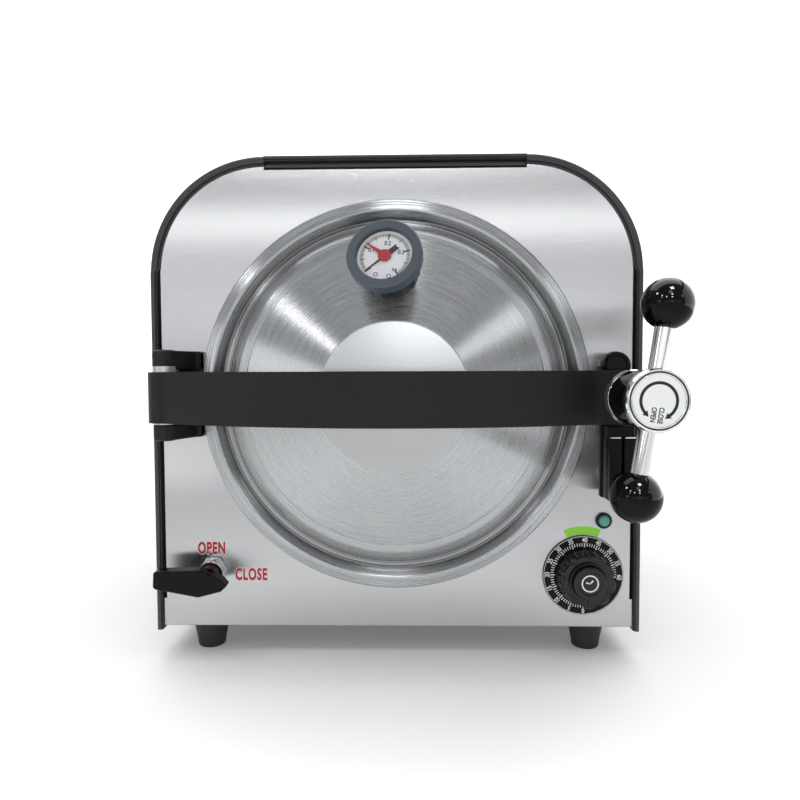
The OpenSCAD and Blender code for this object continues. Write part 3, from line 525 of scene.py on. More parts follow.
def arch_loft(section, low=0.0):
    """Sweeps a closed section of (depth under the outer face, z), or one for each kind, along the arch."""
    rows = []
    for (x, y), (nx, ny), kind in arch_stations():
        use = section[kind] if isinstance(section, dict) else section
        drop = low if y == FOOT else 0
        rows.append([FACE @ Vector((x - nx * d, y - ny * d - drop, z)) for d, z in use])
    return surface(rows, close_rows=True, close_ends=True)


def along_trim(section, low):
    """Sweeps a section that is worked out from the trim's widths."""
    return arch_loft({kind: section(*widths) for kind, widths in TRIM_WIDTHS.items()}, low)


def trim(back, face, sign):
    """The edge band between two z; sign is 1 for the front trim and -1 for the rear one."""
    groove, ledge = face - sign * 1.8, face - sign * 1.1

    def section(width, band):
        gap_end = (width + band) / 2
        return [tuple(p) for p in rounded([
            (0, back), (0, face, 3.0), (band, face, 0.4), (band, groove), (gap_end, groove),
            (gap_end + 0.05, ledge, 0.2), (width, ledge, 0.3), (width, back)], steps=4)]

    return along_trim(section, 2.5)


piece("casing", [
    arch_loft([(1, -396), (1, -4), (2.2, -4), (2.2, -396)]),
    # lips folded under the base
    *(box(FACE, (x, FOOT + 0.3, -384), (x + 11.8, FOOT + 1.5, -18), 0.2) for x in (-167.7, 155.9)),
], CASE, "case", ["casing"])
piece("edge_trims", [trim(-8, 2, 1), trim(-390, -400, -1)], TRIM, "case", ["edge_trims"])


def seal_section(width, band):
    """A black strip down in the front trim's groove: painted shadow where the groove is in shade."""
    inner, outer = band - 0.1, (width + band) / 2 + 0.1
    return [(inner, 0.1), (inner, 0.75), (outer, 0.75), (outer, 0.1)]


# a black strip in the front trim's groove, as painted shadow
piece("painted_groove_shadow", along_trim(seal_section, 2.4), INK, "case", [])
# a strip over the panel's upper edge, and a filler that closes the gap above it
piece("top_strip", [
    box(FACE, (-89.6, TOP - 7.6, -7), (89.6, TOP - 5.4, -0.6), 0.4),
    box(FACE, (-89.6, TOP - 5.8, -7), (89.6, TOP - 3.0, -5), 0.2),
], TRIM, "case", [])


def panel_outline(inset, top_cut, low_x):
    """The panel's edge, inset from the case: wider below a step near the base and cut lower on top."""
    x, y, r = CASE_HW - inset, TOP - inset, CASE_R - inset
    step = FOOT + STEP_H
    corner = arc(x - r, y - r, r, 0, 90, 40)
    return mirrored([(low_x, FOOT), (low_x, step), (x, step), (x, y - r), *corner, (x - r, y - top_cut)])


outline = panel_outline(inset=6.4, top_cut=2.35, low_x=165.4)
front_panel = piece("front_panel", [
    prism(FACE, outline, -1.5, 0, 0.74, [circle(PANEL_HOLE_R, 0, AXIS_Y, 128)], 4),
    # flanges bent back at the sides, the top and the base
    *(box(FACE, (x, FOOT + STEP_H, -14), (x + 1.4, TOP - 82, -1), 0.2) for x in (-163.5, 162.1)),
    box(FACE, (-90, TOP - 10, -14), (90, TOP - 8.5, -1), 0.2),
    box(FACE, (-150, FOOT, -8), (150, FOOT + 1.5, -1), 0.2),
], PANEL, "case", ["front_panel"])

feet = []
FOOT_R = 14
foot_low, foot_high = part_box("rubber_feet")
foot_x = foot_high[0] * 1000 - FOOT_R
for x in (-foot_x, foot_x):
    for z in ((FRONT_Y - foot_low[1]) * 1000 - FOOT_R, -355):
        place = UPRIGHT @ at(x, z, 0) @ turn("X", 180)
        feet.append(lathe(place, rounded([
            (4.8, 0), (9.6, 0, 1.6), (10.4, 6), (13.4, 20.6, 0.5), (14, 21, 0.4), (14, 23.5, 0.3),
            (2.1, 23.5), (2.1, 8), (4.8, 8), (4.8, 0)], steps=4), 72))
piece("rubber_feet", feet, RUBBER, "case", ["rubber_feet"])

# ---------------------------------------------------------------- hinge and keeper

# Two lugs on a foot hold the pin that the arm turns about.
PIN_X, PIN_Z = PIN.x, 25
lugs = []
for low, high in ((AXIS_Y - 28.2, AXIS_Y - 17.9), (AXIS_Y + 18.4, AXIS_Y + 30.8)):
    outline = rounded([
        (-156, 0), (-134.2, 0), (-134.2, 6.5, 1), (-137.5, 8, 3), (PIN_X + 7, PIN_Z + 4, 5),
        (PIN_X + 2, PIN_Z + 8, 4), (PIN_X - 6, PIN_Z + 6.5, 5), (PIN_X - 8, PIN_Z, 5)], True, 4)
    lugs.append(prism(UPRIGHT, outline, -high, -low, 1.0))
base = [(-152, 0), (-134.2, 0), (-134.2, 6.5), (-150, 6.5)]
lugs.append(prism(UPRIGHT, base, -AXIS_Y - 30, -AXIS_Y + 27, 0.6))
piece("hinge_bracket", lugs, POWDER, "case", ["hinge_bracket"])
pin = FACE @ at(PIN_X, 0, PIN_Z) @ turn("X", -90)
low, high = AXIS_Y - 28.7, AXIS_Y + 31.3
piece("hinge_pin", lathe(pin, rounded([
    (0, low), (6, low, 0.8), (6, low + 2, 0.3), (5, low + 2), (5, high - 2.5), (6.5, high - 2.5, 0.3),
    (6.5, high, 1.1), (0, high)]), 48), POWDER, "case", ["hinge_pin"])

# The keeper is a strap on two studs. Its middle is wider, with a slot for the spindle's cross head, and
# a guard block with two jaws stands on its lower half.
LOW_STUD, HIGH_STUD = FOOT + 109, FOOT + 183.3
BOTTOM = FOOT + 95
STRAP_HW = 9.5
strap = arc(BOLT_X, HIGH_STUD, STRAP_HW, 0, 180, 32) + rounded(mirrored([
    (BOLT_X - STRAP_HW, AXIS_Y + 16, 1), (BOLT_X - 13, AXIS_Y + 14, 2), (BOLT_X - 13, AXIS_Y - 14, 2),
    (BOLT_X - STRAP_HW, AXIS_Y - 16, 1), (BOLT_X - STRAP_HW, BOTTOM, 2)], BOLT_X), True, 4)
slot_hole = rounded([(BOLT_X - 6, AXIS_Y - 13.5, 1), (BOLT_X + 6, AXIS_Y - 13.5, 1),
                     (BOLT_X + 6, AXIS_Y + 13.5, 1), (BOLT_X - 6, AXIS_Y + 13.5, 1)], True, 3)
BLOCK_HW, BLOCK_H, JAW_H = 8.5, 49.5, 42
block = rounded([
    (BOLT_X - BLOCK_HW, BOTTOM, 2.2), (BOLT_X + BLOCK_HW, BOTTOM, 2.2),
    (BOLT_X + BLOCK_HW, BOTTOM + BLOCK_H, 1), (BOLT_X - BLOCK_HW, BOTTOM + BLOCK_H, 1)], True, 4)
jaw = [
    (BOLT_X - BLOCK_HW, BOTTOM, 2.2), (BOLT_X - 0.8, BOTTOM), (BOLT_X - 0.8, BOTTOM + JAW_H),
    (BOLT_X - BLOCK_HW, BOTTOM + JAW_H, 1)]
keeper = [prism(FACE, strap, 13, 18, 0.8, [slot_hole]), prism(FACE, block, 16, 31.5, 0.8)]
for s in (1, -1):
    outline = [(BOLT_X + s * (p[0] - BOLT_X), *p[1:]) for p in jaw]
    keeper.append(prism(FACE, rounded(outline[::s], True, 4), 28, 35, 0.9))
piece("latch_keeper", keeper, SATIN, "case", ["latch_keeper"])
# chrome strips on the upper edges of the two jaws: a painted highlight where the black jaws catch the light
piece("jaw_edge_highlights", [
    box(FACE, (BOLT_X + x, BOTTOM + JAW_H - 0.4, 30), (BOLT_X + x + 6.6, BOTTOM + JAW_H + 0.4, 35), 0.25)
    for x in (-7.9, 1.3)
], CHROME, "case", [])
studs, caps = [], []
for y, front, wide in ((HIGH_STUD, 18, 9.3), (LOW_STUD, 35, 5.5)):
    place = FACE @ at(BOLT_X, y)
    studs.append(lathe(place, rounded([(4, -12), (4, 0), (6, 0), (6, 12.6, 0.4), (4, 12.9), (4, 13)]), 48))
    studs.append(prism(place, circle(6.8, 0, 0, 6), 0.1, 7, 0.5))
    caps.append(lathe(place, rounded([
        (0, front - 0.2), (wide, front - 0.2), (wide, front + 2.4, 0.9), (wide * 0.72, front + 2.6, 0.3),
        (wide * 0.68, front + 1.9, 0.3), (0, front + 2.1)]), 64))
piece("keeper_studs", studs, STEEL, "case", ["keeper_studs"])
piece("stud_caps", caps, GLOSS, "case", [])

# ---------------------------------------------------------------- door


def fine_grooves(profile, radii, depth=0.22, half=0.3):
    """Turned grooves in the stretches of a profile that pass the given radii."""
    out = [profile[0]]
    for (r0, z0), (r1, z1) in zip(profile, profile[1:]):
        for r in sorted(radii):
            if r0 < r - half and r + half < r1:
                along = [(q, z0 + (z1 - z0) * (q - r0) / (r1 - r0)) for q in (r - half, r, r + half)]
                out += [along[0], (along[1][0], along[1][1] - depth), along[2]]
        out.append((r1, z1))
    return out


# the lid's section: flat, cone and bend, then groove and rim, then back along the inside
lid_profile = [(0, LID_Z), (48.4, LID_Z), (CONE_R, 39.9), (49.6, 39.7), (100.2, 21.6)]
lid_profile += [tuple(p) for p in arc(98.6, 6.2, 16, 70.017, 36, 4)]
lid_profile += [tuple(p) for p in rounded([
    (112.6, 14.2), (114.4, 13.2, 0.6), (115.6, 13.0, 0.15), (115.9, 12.2, 0.15), (116.3, 12.1, 0.1),
    (116.7, 10.4, 0.4), (118.2, 10.0, 1.2), (120.6, 12.0, 2.0), (123.6, 15.4, 2.6), (130.9, 13.4, 0.8),
    (131.6, 12.2, 0.5), (132, 11)], steps=5)]
lid_profile += [tuple(p) for p in rounded([
    (132, 8.6, 0.3), (129.2, 8.6, 0.3), (129.2, 12.2, 0.3), (122, 12.2, 0.3), (122, 8.6, 0.4), (113, 8.6, 1),
    (109, 12.5, 3), (97, 19.6, 6), (48, 37, 6), (0, 37)], steps=4)]
lid_profile = fine_grooves(lid_profile, (99.4, 105.6, 107.9, 110.4, 127.6, 129.3))
piece("door_lid", lathe(ON_AXIS, lid_profile, 256), LID, "door", ["door_lid"], 20)
piece("lid_centre_plate", lathe(ON_AXIS, rounded([
    (0, LID_Z), (48.5, LID_Z), (48.5, LID_Z + 1, 0.7), (46, LID_Z + 1), (0, LID_Z + 1)], steps=6), 192),
    PLATE, "door", ["lid_centre_plate"])

# The arm is a bowed bar of even thickness, seen from above as an arc about ARM_C in x and z, which ends
# in a straight flat. It has a round eye about the hinge pin and a round end about the clamp bolt.
ARM_H, ARM_T, ARM_R = 33.4, 16, 314.04
ARM_C = Vector((3.174, -239.023))
FLAT_Z, FLAT_END = 50, 166.5


def arm_angle(x, r):
    """The angle at which an arc about ARM_C reaches an x."""
    return math.degrees(math.acos((x - ARM_C.x) / r))


def across_arm(outline, half):
    """A block of an outline in x and z, as far above the axis as below it."""
    return prism(UPRIGHT, outline, -AXIS_Y - half, -AXIS_Y + half, 0)


ARM_IN_R = ARM_R - ARM_T
bar = arc(*ARM_C, ARM_R, arm_angle(PIN_X, ARM_R), arm_angle(126, ARM_R), 72)
bar += [Vector(p) for p in ((FLAT_END, FLAT_Z), (FLAT_END, FLAT_Z - ARM_T), (124.5, FLAT_Z - ARM_T))]
bar += arc(*ARM_C, ARM_IN_R, arm_angle(124.5, ARM_IN_R), arm_angle(PIN_X, ARM_IN_R), 72)
eye = across_arm(circle(10.6, PIN_X, PIN_Z, 72), ARM_H / 2)
arm = combined(across_arm(bar, ARM_H / 2), eye, "UNION")
left, right = PIN_X - 20, BOLT_X - 6
envelope = [Vector((left, AXIS_Y - 30)), Vector((right, AXIS_Y - 30)), Vector((right, AXIS_Y - ARM_H / 2))]
envelope += arc(BOLT_X, AXIS_Y, ARM_H / 2, -90, 90, 48)
envelope += [Vector((right, AXIS_Y + ARM_H / 2)), Vector((right, AXIS_Y + 30)), Vector((left, AXIS_Y + 30))]
arm = combined(arm, prism(FACE, envelope, 0, 100, 0), "INTERSECT")
arm = combined(arm, across_arm(circle(6.5, PIN_X, PIN_Z, 48), 40), "DIFFERENCE")
arm = softened(arm, 1.3, 4)
boss = lathe(ON_AXIS, [(9, 58), (16, 58), (16, 60), (16, 62)], 64)
piece("door_arm", [arm, boss], POWDER, "door", ["door_arm"])

# ---------------------------------------------------------------- gauge


def ribbed(r, depth, groups=12, ribs=3, pitch=4.16, half=1.6, steps=720):
    """A circle with groups of small ribs around it; the ribs' pitch and half width are in degrees."""
    out = []
    for k in range(steps):
        a = 360 * k / steps
        near = (a + 180 / groups) % (360 / groups) - 180 / groups
        on = any(abs(near - (i - (ribs - 1) / 2) * pitch) < half for i in range(ribs))
        rr = r if on else r - depth
        out.append(Vector((rr * math.cos(math.radians(a)), rr * math.sin(math.radians(a)))))
    return out


piece("gauge_case", [
    lathe(ON_GAUGE, rounded([(0, 12), (17.2, 12, 1), (18.4, 14, 1), (18.4, 29.2), (0, 29.2)]), 96),
    prism(ON_GAUGE, ribbed(19, 0.55), 15, 29.3, 0),
], GAUGE_BLACK, "door", ["gauge_case"], 25)
piece("gauge_bezel", lathe(ON_GAUGE, rounded([
    (18.6, 29), (21.9, 29, 0.6), (22.8, 30.2, 0.8), (22.8, 37.2, 0.9), (21.9, 38.5, 0.6), (17.4, 38.3, 0.4),
    (16.9, 37.6, 0.3), (16.9, 36.5), (18.6, 36.5)], steps=6), 128),
    BEZEL, "door", ["gauge_bezel"])
wall = [(18.2, 33.7), (16.95, 33.7), (16.95, 36.5), (18.2, 36.5)]
piece("gauge_wall", lathe(ON_GAUGE, wall, 128), INK, "door", [])
GAUGE_DIAL_Z = 33.6
face = rounded([(0, 33), (18.9, 33), (18.9, GAUGE_DIAL_Z, 0.2), (0, GAUGE_DIAL_Z)])
piece("gauge_dial", lathe(ON_GAUGE, face, 96), FACE_WHITE, "door", ["gauge_dial"])
piece("gauge_lens", lathe(ON_GAUGE, rounded([(0, 36.42), (17.15, 36.42), (17.15, 35.42), (0, 35.42)]), 96),
      GLASS, "door", ["gauge_lens"])


MARK_T = 0.05  # thickness of printed marks


def bar_mark(place, angle, r0, r1, width):
    """A flat radial mark."""
    spot = place @ turn("Z", angle)
    return box(spot, (r0, -width / 2, 0), (r1, width / 2, MARK_T), 0.0)


ZERO, SWEEP, TICKS, TICK_R = 226.0, 277.0, 80, 15.2
scale_marks = []
top = ON_GAUGE @ at(0, 0, GAUGE_DIAL_Z)
for k in range(TICKS + 1):
    start, wide = (11.4, 0.85) if k % 20 == 0 else (12.2, 0.55) if k % 10 == 0 else (13.2, 0.38)
    scale_marks.append(bar_mark(top, ZERO - SWEEP * k / TICKS, start, TICK_R, wide))
numbers = (("0", 11.4, 2.8), ("0.1", 9.6, 3.9), ("0.2", 8.7, 3.9), ("0.3", 9.9, 3.9), ("0.4", 11.0, 2.8))
for k, (words, r, size) in enumerate(numbers):
    a = math.radians(ZERO - SWEEP * k / 4)
    scale_marks.append(lettering(top @ at(r * math.cos(a), r * math.sin(a), 0.02), words, size, 0.85, 0.09))
for x, y in ((-3.9, -12.2), (4.1, -12.8)):
    scale_marks.append(lathe(top @ at(x, y), [(0.95, 0), (1.4, 0), (1.4, 0.06), (0.95, 0.06)], 24))
piece("gauge_scale", scale_marks, INK, "door", [])


def needle_outline(reach, root, tip, tail, tail_wide):
    """A needle that tapers from root to tip, with a wider tail that is notched at its end."""
    return [(0, root / 2), (reach, tip / 2), (reach, -tip / 2), (0, -root / 2), (0, -tail_wide / 2),
            (-tail, -tail_wide / 2), (-tail + 0.9, 0), (-tail, tail_wide / 2), (0, tail_wide / 2)]


piece("gauge_needle", [
    prism(ON_GAUGE @ turn("Z", 225), needle_outline(14.8, 1.3, 0.6, 9.8, 3.4), 34, 34.5, 0.1),
    lathe(ON_GAUGE, rounded([(0.86, 34), (1.8, 34), (1.8, 34.5, 0.2), (0.86, 34.5)]), 32),
], INK, "needle", ["gauge_needle"])
pointer = mirrored([(0, 1.7), (4.2, 1.4), (8, 0.95), (14.2, 0.35)], axis=1)
piece("gauge_set_pointer", [
    prism(ON_GAUGE @ turn("Z", 148), pointer, 34.7, 35.2, 0.15),
    lathe(ON_GAUGE, rounded([
        (0.86, 34.7), (4.0, 34.7), (4.0, 35.2, 0.2), (2.9, 35.2), (2.7, 34.9), (0.86, 34.9)]), 48),
    box(ON_GAUGE @ turn("Z", 48), (-2.6, -0.4, 34.85), (2.6, 0.4, 35.18), 0.05),
], RED, "set_pointer", ["gauge_set_pointer"])

# ---------------------------------------------------------------- clamp lever

piece("lever_collar", lathe(ON_BOLT, rounded([
    (5.3, 50.3), (17.2, 50.3), (17.2, 51.8, 0.6), (15.8, 54.5, 0.6), (5.3, 54.5)]), 96),
    CHROME, "collar", ["lever_collar"])
piece("lever_hub", lathe(ON_BOLT, rounded([
    (0, 54.7), (15.8, 54.7), (15.8, 56.7, 0.4), (16.8, 58.7, 0.6), (16.8, 88.2), (0, 88.2)]), 96),
    GLOSS, "lever", [])
piece("hub_cap", lathe(ON_BOLT, rounded([
    (10, 87.6), (16.9, 87.6, 0.3), (18.1, 89.3, 0.7), (18.1, 93.6, 0.6), (17.3, 95, 0.4), (16.3, 94.9, 0.2),
    (16.2, 93.9), (15.5, 93.9), (15.4, 94.9, 0.15), (14.75, 94.8, 0.1), (14.7, 94.1), (0, 94.1)],
    steps=4), 128), CHROME, "lever", ["lever_hub"])
ring = [(15.45, 94.0), (16.25, 94.0), (16.25, 94.35), (15.45, 94.35)]
piece("cap_ring", lathe(ON_BOLT, ring, 128), INK, "lever", [])
LABEL_Z = 94.5
disc = rounded([(0, 94.1), (14.45, 94.1), (14.45, LABEL_Z, 0.1), (0, LABEL_Z)])
piece("cap_label", lathe(ON_BOLT, disc, 96), LABEL, "lever", [])
label = IN_LEVER @ at(0, 0, LABEL_Z - ROD_Z)


def ring_band(place, r0, r1, start, end, thick=MARK_T, steps=64):
    """A flat band along a circle, between two angles."""
    outline = arc(0, 0, r1, start, end, steps) + arc(0, 0, r0, end, start, steps)
    return prism(place, outline, 0, thick, 0.0)


def arrow_head(place, angle, r, way, size=2.5):
    """A flat triangle on a circle that points along it, one way or the other."""
    spot = place @ turn("Z", angle) @ at(r, 0)
    return prism(spot, [(-size * 0.75, 0), (size * 0.75, 0), (0, way * size * 1.25)][::-way], 0, MARK_T, 0.0)


piece("cap_marks", [
    ring_band(label, 9.1, 10.8, -46, 228),
    arrow_head(label, 228, 9.95, 1),
    arrow_head(label, -46, 9.95, -1),
    lettering(label @ at(-2.0, -8.0) @ turn("Z", -90), "OPEN", 3.9, 0.82, 0.13),
    lettering(label @ at(2.1, -7.9) @ turn("Z", -90), "CLOSE", 3.9, 0.78, 0.13),
], INK, "lever", [])

# The two balls stand a little unequally far out. Each is cut off where its rod goes in.
BALL_R, BALL_CUT = 14.6, -13.3
rods, balls = [], []
for s, out_to in ((1, 54.4), (-1, 55.7)):
    along = IN_LEVER @ turn("X", -90 * s)
    rods.append(lathe(along, rounded([(0, 8), (5, 8), (5, 45, 0.2), (5, 47.9), (0, 47.9)]), 64))
    start = math.degrees(math.acos(BALL_CUT / BALL_R))
    turned = [math.radians(start * k / 48) for k in range(49)]
    ball = [(BALL_R * math.sin(a), out_to + BALL_R * math.cos(a)) for a in turned]
    balls.append(lathe(along, ball + [(5, out_to - 13.6)], 96))
piece("lever_rods", rods, CHROME, "lever", ["lever_rods"])
ball_knobs = piece("ball_knobs", balls, GLOSS, "lever", ["ball_knobs"], 40)

# ---------------------------------------------------------------- steam valve

piece("release_valve_nut", [
    prism(ON_VALVE, circle(9.6, 0, 0, 6), 0.9, 6.3, 0.7),
    lathe(ON_VALVE, rounded([
        (3.1, 6.2), (8.8, 6.2), (8.8, 9, 0.9), (7.4, 9, 0.2), (7.2, 8.2), (3.1, 8.2)]), 72),
], BRIGHT, "case", ["release_valve_nut"])
blade = rounded([(15.1, 0, 0.3)] + mirrored([
    (11.4, 4.2, 0.3), (-3.8, 9.6, 0.6), (-33.4, 6.3, 0.6), (-34.8, 4.9, 0.5)], axis=1), True, 3)
piece("valve_lever", [
    prism(ON_VALVE @ turn("Z", -4.6) @ at(0, -1.9), blade, 16, 23.5, 0.6),
    lathe(ON_VALVE, rounded([(0, 9.3), (6.9, 9.3, 0.5), (6.9, 17), (0, 17)]), 64),
    lathe(ON_VALVE, [(0, -8), (3, -8), (3, 9.4), (0, 9.4)], 32),
], SATIN, "valve", ["valve_lever"])

# the red words on the panel, each over a wider pale copy of itself that shows as a thin edge
print_spot = FACE @ at(0, FOOT, 0.02)
halo, words = [], []
for text, x, y in (("OPEN", -130.6, 55.3), ("CLOSE", -102.8, 36.6)):
    halo.append(lettering(print_spot @ at(x, y), text, 11.4, 0.61, 0.85, 0.04, 1.14))
    words.append(lettering(print_spot @ at(x, y, 0.03), text, 11.4, 0.61, 0.5, 0.06, 1.14))
piece("panel_halo", halo, WHITE_INK, "case")
piece("panel_words", words, RED_INK, "case")

# ---------------------------------------------------------------- timer and lamp

DIAL_T = 1.5
MINUTE_STEP = 4.55  # degrees on the dial
dial = rounded([(4.5, 0), (28, 0), (28, DIAL_T, 0.5), (4.5, DIAL_T)], steps=4)
piece("timer_dial", lathe(ON_TIMER, dial, 128), DIAL, "case", ["timer_dial"])
marks = []
dial_top = ON_TIMER @ at(0, 0, DIAL_T)
for minute in range(61):
    angle = 270 - MINUTE_STEP * minute
    long = minute % 5 == 0
    marks.append(bar_mark(dial_top, angle, 19.8 if long else 20.6, 22.9, 0.7 if long else 0.55))
    if long:
        spot = dial_top @ turn("Z", angle) @ at(24.9, 0, 0.02) @ turn("Z", -90)
        marks.append(lettering(spot, str(minute), 4.6, 0.82, 0.1))
marks.append(lathe(ON_TIMER, [(27.2, 1.45), (27.55, 1.5), (27.55, 1.55), (27.2, 1.52)], 128))
piece("timer_marks", marks, WHITE_INK, "case")
piece("time_arc", ring_band(ON_TIMER @ at(0, 0, 0.01), 28.4, 34.4, 69, 113.4, 0.06), GREEN_INK, "case")


KNOB_R, KNOB_INNER, FLUTES, FLUTE_STEPS, FLUTE_DEPTH = 19, 12, 9, 32, 2.9


def knob_skin():
    """The scalloped knob: rings of points whose radius dips at nine flutes, between skirt and top edge."""
    profile = rounded([
        (18.6, 1.8, 0.3), (KNOB_R, 2.4), (KNOB_R, 4.5, 0.6), (18.6, 16, 0.8), (17.6, 17.6, 0.5),
        (15.6, 17.4), (13.2, 16.6), (12, 16.5, 0.4), (11, 20.3, 0.6), (8.2, 20.5, 0.4), (7.4, 19.7, 0.4),
        (0.01, 19.6)], steps=4)
    count, half = FLUTES * FLUTE_STEPS, FLUTE_STEPS // 2
    rows = []
    for r, z in profile:
        row = []
        for k in range(count):
            a = math.radians(90 + 360 * k / count)
            near = abs((k % FLUTE_STEPS) - half) / half  # 1 at the middle of a flute
            dip = FLUTE_DEPTH * max(0.0, (near - 0.3) / 0.7) ** 0.7 if 4.6 < z < 18.5 else 0.0
            rr = min(r, KNOB_R - dip) if r > KNOB_INNER else r
            row.append(ON_TIMER @ Vector((rr * math.cos(a), rr * math.sin(a), z)))
        rows.append(row)
    return surface(rows, close_rows=True)


knob = [knob_skin(), lathe(ON_TIMER, [(0, -12), (3, -12), (3, 1.9), (0, 1.9)], 32)]
piece("timer_knob", knob, KNOB, "timer", ["timer_knob"], 30)
knob_top = ON_TIMER @ at(0, 0, 19.72)
piece("knob_marks", [
    ring_band(knob_top, 4.9, 5.8, 0, 360),
    bar_mark(knob_top, 48, -0.4, 2.9, 0.9),
    bar_mark(knob_top, 165, -0.4, 2.9, 0.9),
], WHITE_INK, "timer")
groove = box(ON_TIMER, (-0.5, -17.6, 16.9), (0.5, -11.6, 17.75), 0.1)
piece("knob_groove", groove, INK, "timer", [])
LENS_R = 3.95
piece("lamp_bezel", lathe(ON_LAMP, rounded([
    (LENS_R, 0), (5.6, 0), (5.6, 1.6, 0.5), (4.8, 2.6, 0.5), (LENS_R, 2.4), (LENS_R, 0)], steps=4), 64),
    PLASTIC, "case", ["lamp_bezel"])
lens = rounded([(LENS_R, 0.6), (LENS_R, 2.2, 0.3), (3.2, 3.2, 1.0), (0, 3.7)], steps=5)
piece("lamp_lens", lathe(ON_LAMP, lens, 64), LAMP, "case", ["lamp_lens"])

# ---------------------------------------------------------------- stage, camera and light

scene = bpy.context.scene
scene.view_settings.view_transform = "Standard"


def toward(azimuth, elevation):
    """A direction out in front of the object, in degrees to the right of straight ahead and up."""
    a, e = math.radians(azimuth), math.radians(elevation)
    return Vector((math.sin(a) * math.cos(e), -math.cos(a) * math.cos(e), math.sin(e)))


def stage_sheet():
    """A pale floor that rises behind the object in one curve, in metres."""
    bend_y, bend_r = 1.1, 1.0
    profile = [(-3.2, 0), (bend_y, 0)]
    for angle in range(3, 91, 3):
        a = math.radians(angle)
        profile.append((bend_y + bend_r * math.sin(a), bend_r - bend_r * math.cos(a)))
    profile.append((bend_y + bend_r, 3.4))
    return surface([[Vector((x, y, z)) for x in (-7, -3.5, 0, 3.5, 7)] for y, z in profile])


def floor_paint():
    """Pale paint that glows towards white well away from the object, so the sheet's ends don't show."""
    n = Nodes("floor_paint")
    away = n.add("ShaderNodeVectorMath", operation="LENGTH")
    n.link(n.place, away.inputs[0])
    glow = n.spread(away.outputs["Value"], 0.12, 0.85, (1.6, 2.6))
    n.link(glow, n.shader.inputs["Emission Strength"])
    n.set(Base_Color=(0.5, 0.5, 0.5, 1), Roughness=0.75, Emission_Color=(1, 1, 1, 1))
    return n.material


floor_mesh = stage_sheet()
floor_mesh.polygons.foreach_set("use_smooth", [True] * len(floor_mesh.polygons))
floor_mesh.materials.append(floor_paint())
floor = bpy.data.objects.new("floor", floor_mesh)
scene.collection.objects.link(floor)


def studio_world():
    """Even light from all around, with plain white behind the object for the camera."""
    world = bpy.data.worlds.new("studio")
    world.use_nodes = True
    nodes, links = world.node_tree.nodes, world.node_tree.links
    light = nodes["Background"]
    light.inputs["Color"].default_value = (0.97, 0.98, 1, 1)
    light.inputs["Strength"].default_value = 0.42
    backdrop = nodes.new("ShaderNodeBackground")
    backdrop.inputs["Color"].default_value = (1, 1, 1, 1)
    choice = nodes.new("ShaderNodeMixShader")
    links.new(nodes.new("ShaderNodeLightPath").outputs["Is Camera Ray"], choice.inputs[0])
    links.new(light.outputs[0], choice.inputs[1])
    links.new(backdrop.outputs[0], choice.inputs[2])
    links.new(choice.outputs[0], nodes["World Output"].inputs["Surface"])
    return world


scene.world = studio_world()

# Where the photo's perspective puts its camera, and the same place mirrored in the front panel.
CAMERA_AT = Vector((0.01209, FRONT_Y - 0.45192, FOOT / 1000 + 0.18058))
MIRRORED = Vector((CAMERA_AT.x, 2 * FRONT_Y - CAMERA_AT.y, CAMERA_AT.z))
LID_AT = Vector((0, FRONT_Y, AXIS_Y / 1000))
BALL_AT = Vector((0.155, FRONT_Y - 0.09, 0.24))


def softbox(name, place, aim, size, radiance):
    """A soft light of one brightness, whatever its size."""
    light = bpy.data.lights.new(name, "AREA")
    light.shape, light.size, light.size_y = "RECTANGLE", size[0], size[1]
    light.energy = radiance * math.pi * size[0] * size[1]
    obj = bpy.data.objects.new(name, light)
    obj.location = place
    obj.rotation_euler = (Vector(aim) - Vector(place)).to_track_quat("-Z", "Y").to_euler()
    scene.collection.objects.link(obj)
    return obj


def card(name, azimuth, elevation, wide, high, radiance, distance=2.4):
    """A softbox that the flat front panel mirrors to the camera, placed and sized by angles from there."""
    size = [2 * distance * math.tan(math.radians(angle) / 2) for angle in (wide, high)]
    return softbox(name, MIRRORED + distance * toward(azimuth, elevation), MIRRORED, size, radiance)


def reaches_only(light, obj):
    """Keeps a light to one object."""
    group = bpy.data.collections.new("lit_by_" + light.name)
    group.objects.link(obj)
    light.light_linking.receiver_collection = group


# lights for everything, with the bands that only the front panel mirrors and two lights that only brighten
# the floor, behind the object and just in front of it. The grain of a fast render depends on this order.
softbox("top", (0, 0.75, 2.3), (0, 0.75, 0), (3.4, 2.0), 3.6)
backdrop_light = softbox("backdrop", (0, 0.7, 2.7), (0, 2.1, 1.2), (8.0, 0.8), 4.5)
card("front", 0, 4.6, wide=60, high=11, radiance=0.7)
card("glow", 1, 4.6, wide=7, high=4, radiance=2.8, distance=2.2)
bands = [
    card("band", 0, 12.8, wide=70, high=2.2, radiance=3.0),
    card("high_band", -14, 18.8, wide=32, high=3.0, radiance=3.2),
    card("right_band", 16, 18.8, wide=28, high=3.0, radiance=1.7),
    card("left_glow", -21, -7.3, wide=5, high=4.2, radiance=2.2, distance=1.2),
]
near_floor = softbox("near_floor", (0, FRONT_Y - 0.13, 0.3), (0, FRONT_Y - 0.13, 0), (0.55, 0.1), 6.0)
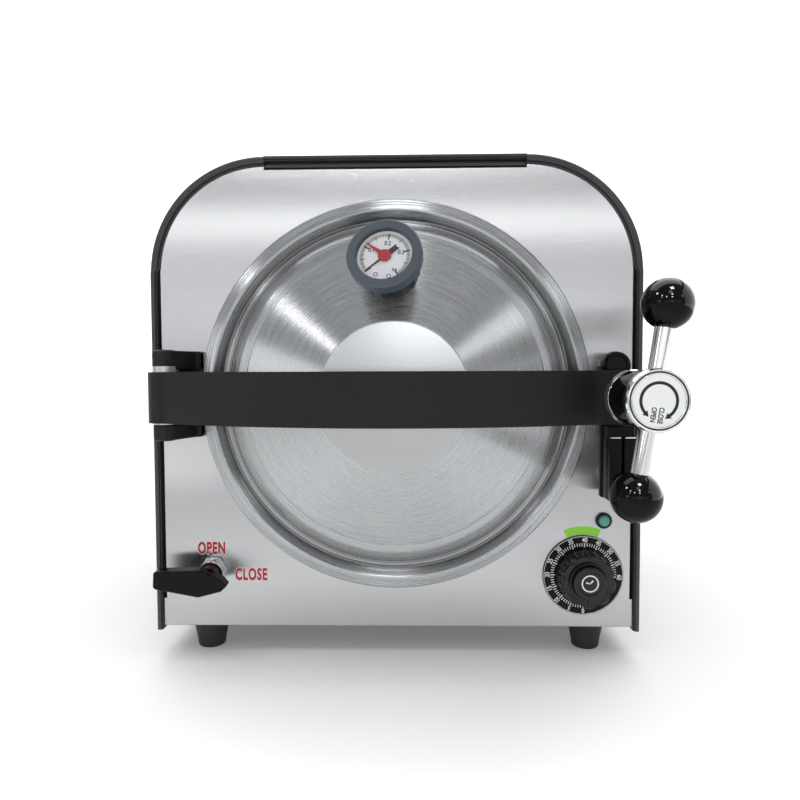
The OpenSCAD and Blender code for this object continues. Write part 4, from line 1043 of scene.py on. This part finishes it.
softbox("upper_left", LID_AT + Vector((-1.05, -1.2, 0.76)), LID_AT, (0.11, 0.11), 34)
softbox("overhead", LID_AT + Vector((0, -1.15, 1.2)), LID_AT, (0.34, 0.34), 8)
softbox("right", LID_AT + Vector((1.3, -1.25, 0.8)), LID_AT, (0.3, 0.3), 4.5)
softbox("left", LID_AT + Vector((-1.5, -1.2, 0.3)), LID_AT, (0.4, 0.4), 3.0)
for band in bands:
    reaches_only(band, front_panel)
for light in (near_floor, backdrop_light):
    light.visible_camera = False
    reaches_only(light, floor)

# small bright lights, by azimuth, elevation and size, and a wall on the right that only the balls mirror
for azimuth, elevation, wide in (
    (-75, 38.6, 0.14), (-48, 31, 0.09), (-27, 25.5, 0.09), (-2, 36, 0.12), (-3, 24, 0.1), (10, 65, 0.26),
):
    dot = softbox("dot", BALL_AT + 1.3 * toward(azimuth, elevation), BALL_AT, (wide, wide), 90)
    reaches_only(dot, ball_knobs)
wall_aim = BALL_AT + Vector((0, 0.35, 0.15))
right_wall = softbox("right_wall", wall_aim + Vector((1.2, 0, 0)), wall_aim, (2.6, 2.2), 3.0)
right_wall.visible_camera = False
reaches_only(right_wall, ball_knobs)


def photo_camera(yaw, pitch, roll, lens):
    """The camera at CAMERA_AT, turned from looking straight at the panel, with angles in degrees."""
    yaw, pitch, roll = (math.radians(a) for a in (yaw, pitch, roll))
    ahead = Vector((math.sin(yaw) * math.cos(pitch), math.cos(yaw) * math.cos(pitch), -math.sin(pitch)))
    right = Vector((math.cos(yaw), -math.sin(yaw), 0))
    up = right.cross(ahead)
    side = right * math.cos(roll) + up * math.sin(roll)
    above = up * math.cos(roll) - right * math.sin(roll)
    view = Matrix((side, above, -ahead)).transposed().to_4x4()
    view.translation = CAMERA_AT
    camera = bpy.data.objects.new("camera", bpy.data.cameras.new("camera"))
    camera.data.lens, camera.data.sensor_width, camera.data.clip_start = lens, 36, 0.01
    camera.matrix_world = view
    scene.collection.objects.link(camera)
    return camera


scene.camera = photo_camera(yaw=-1.154, pitch=2.589, roll=-0.223, lens=29.25)
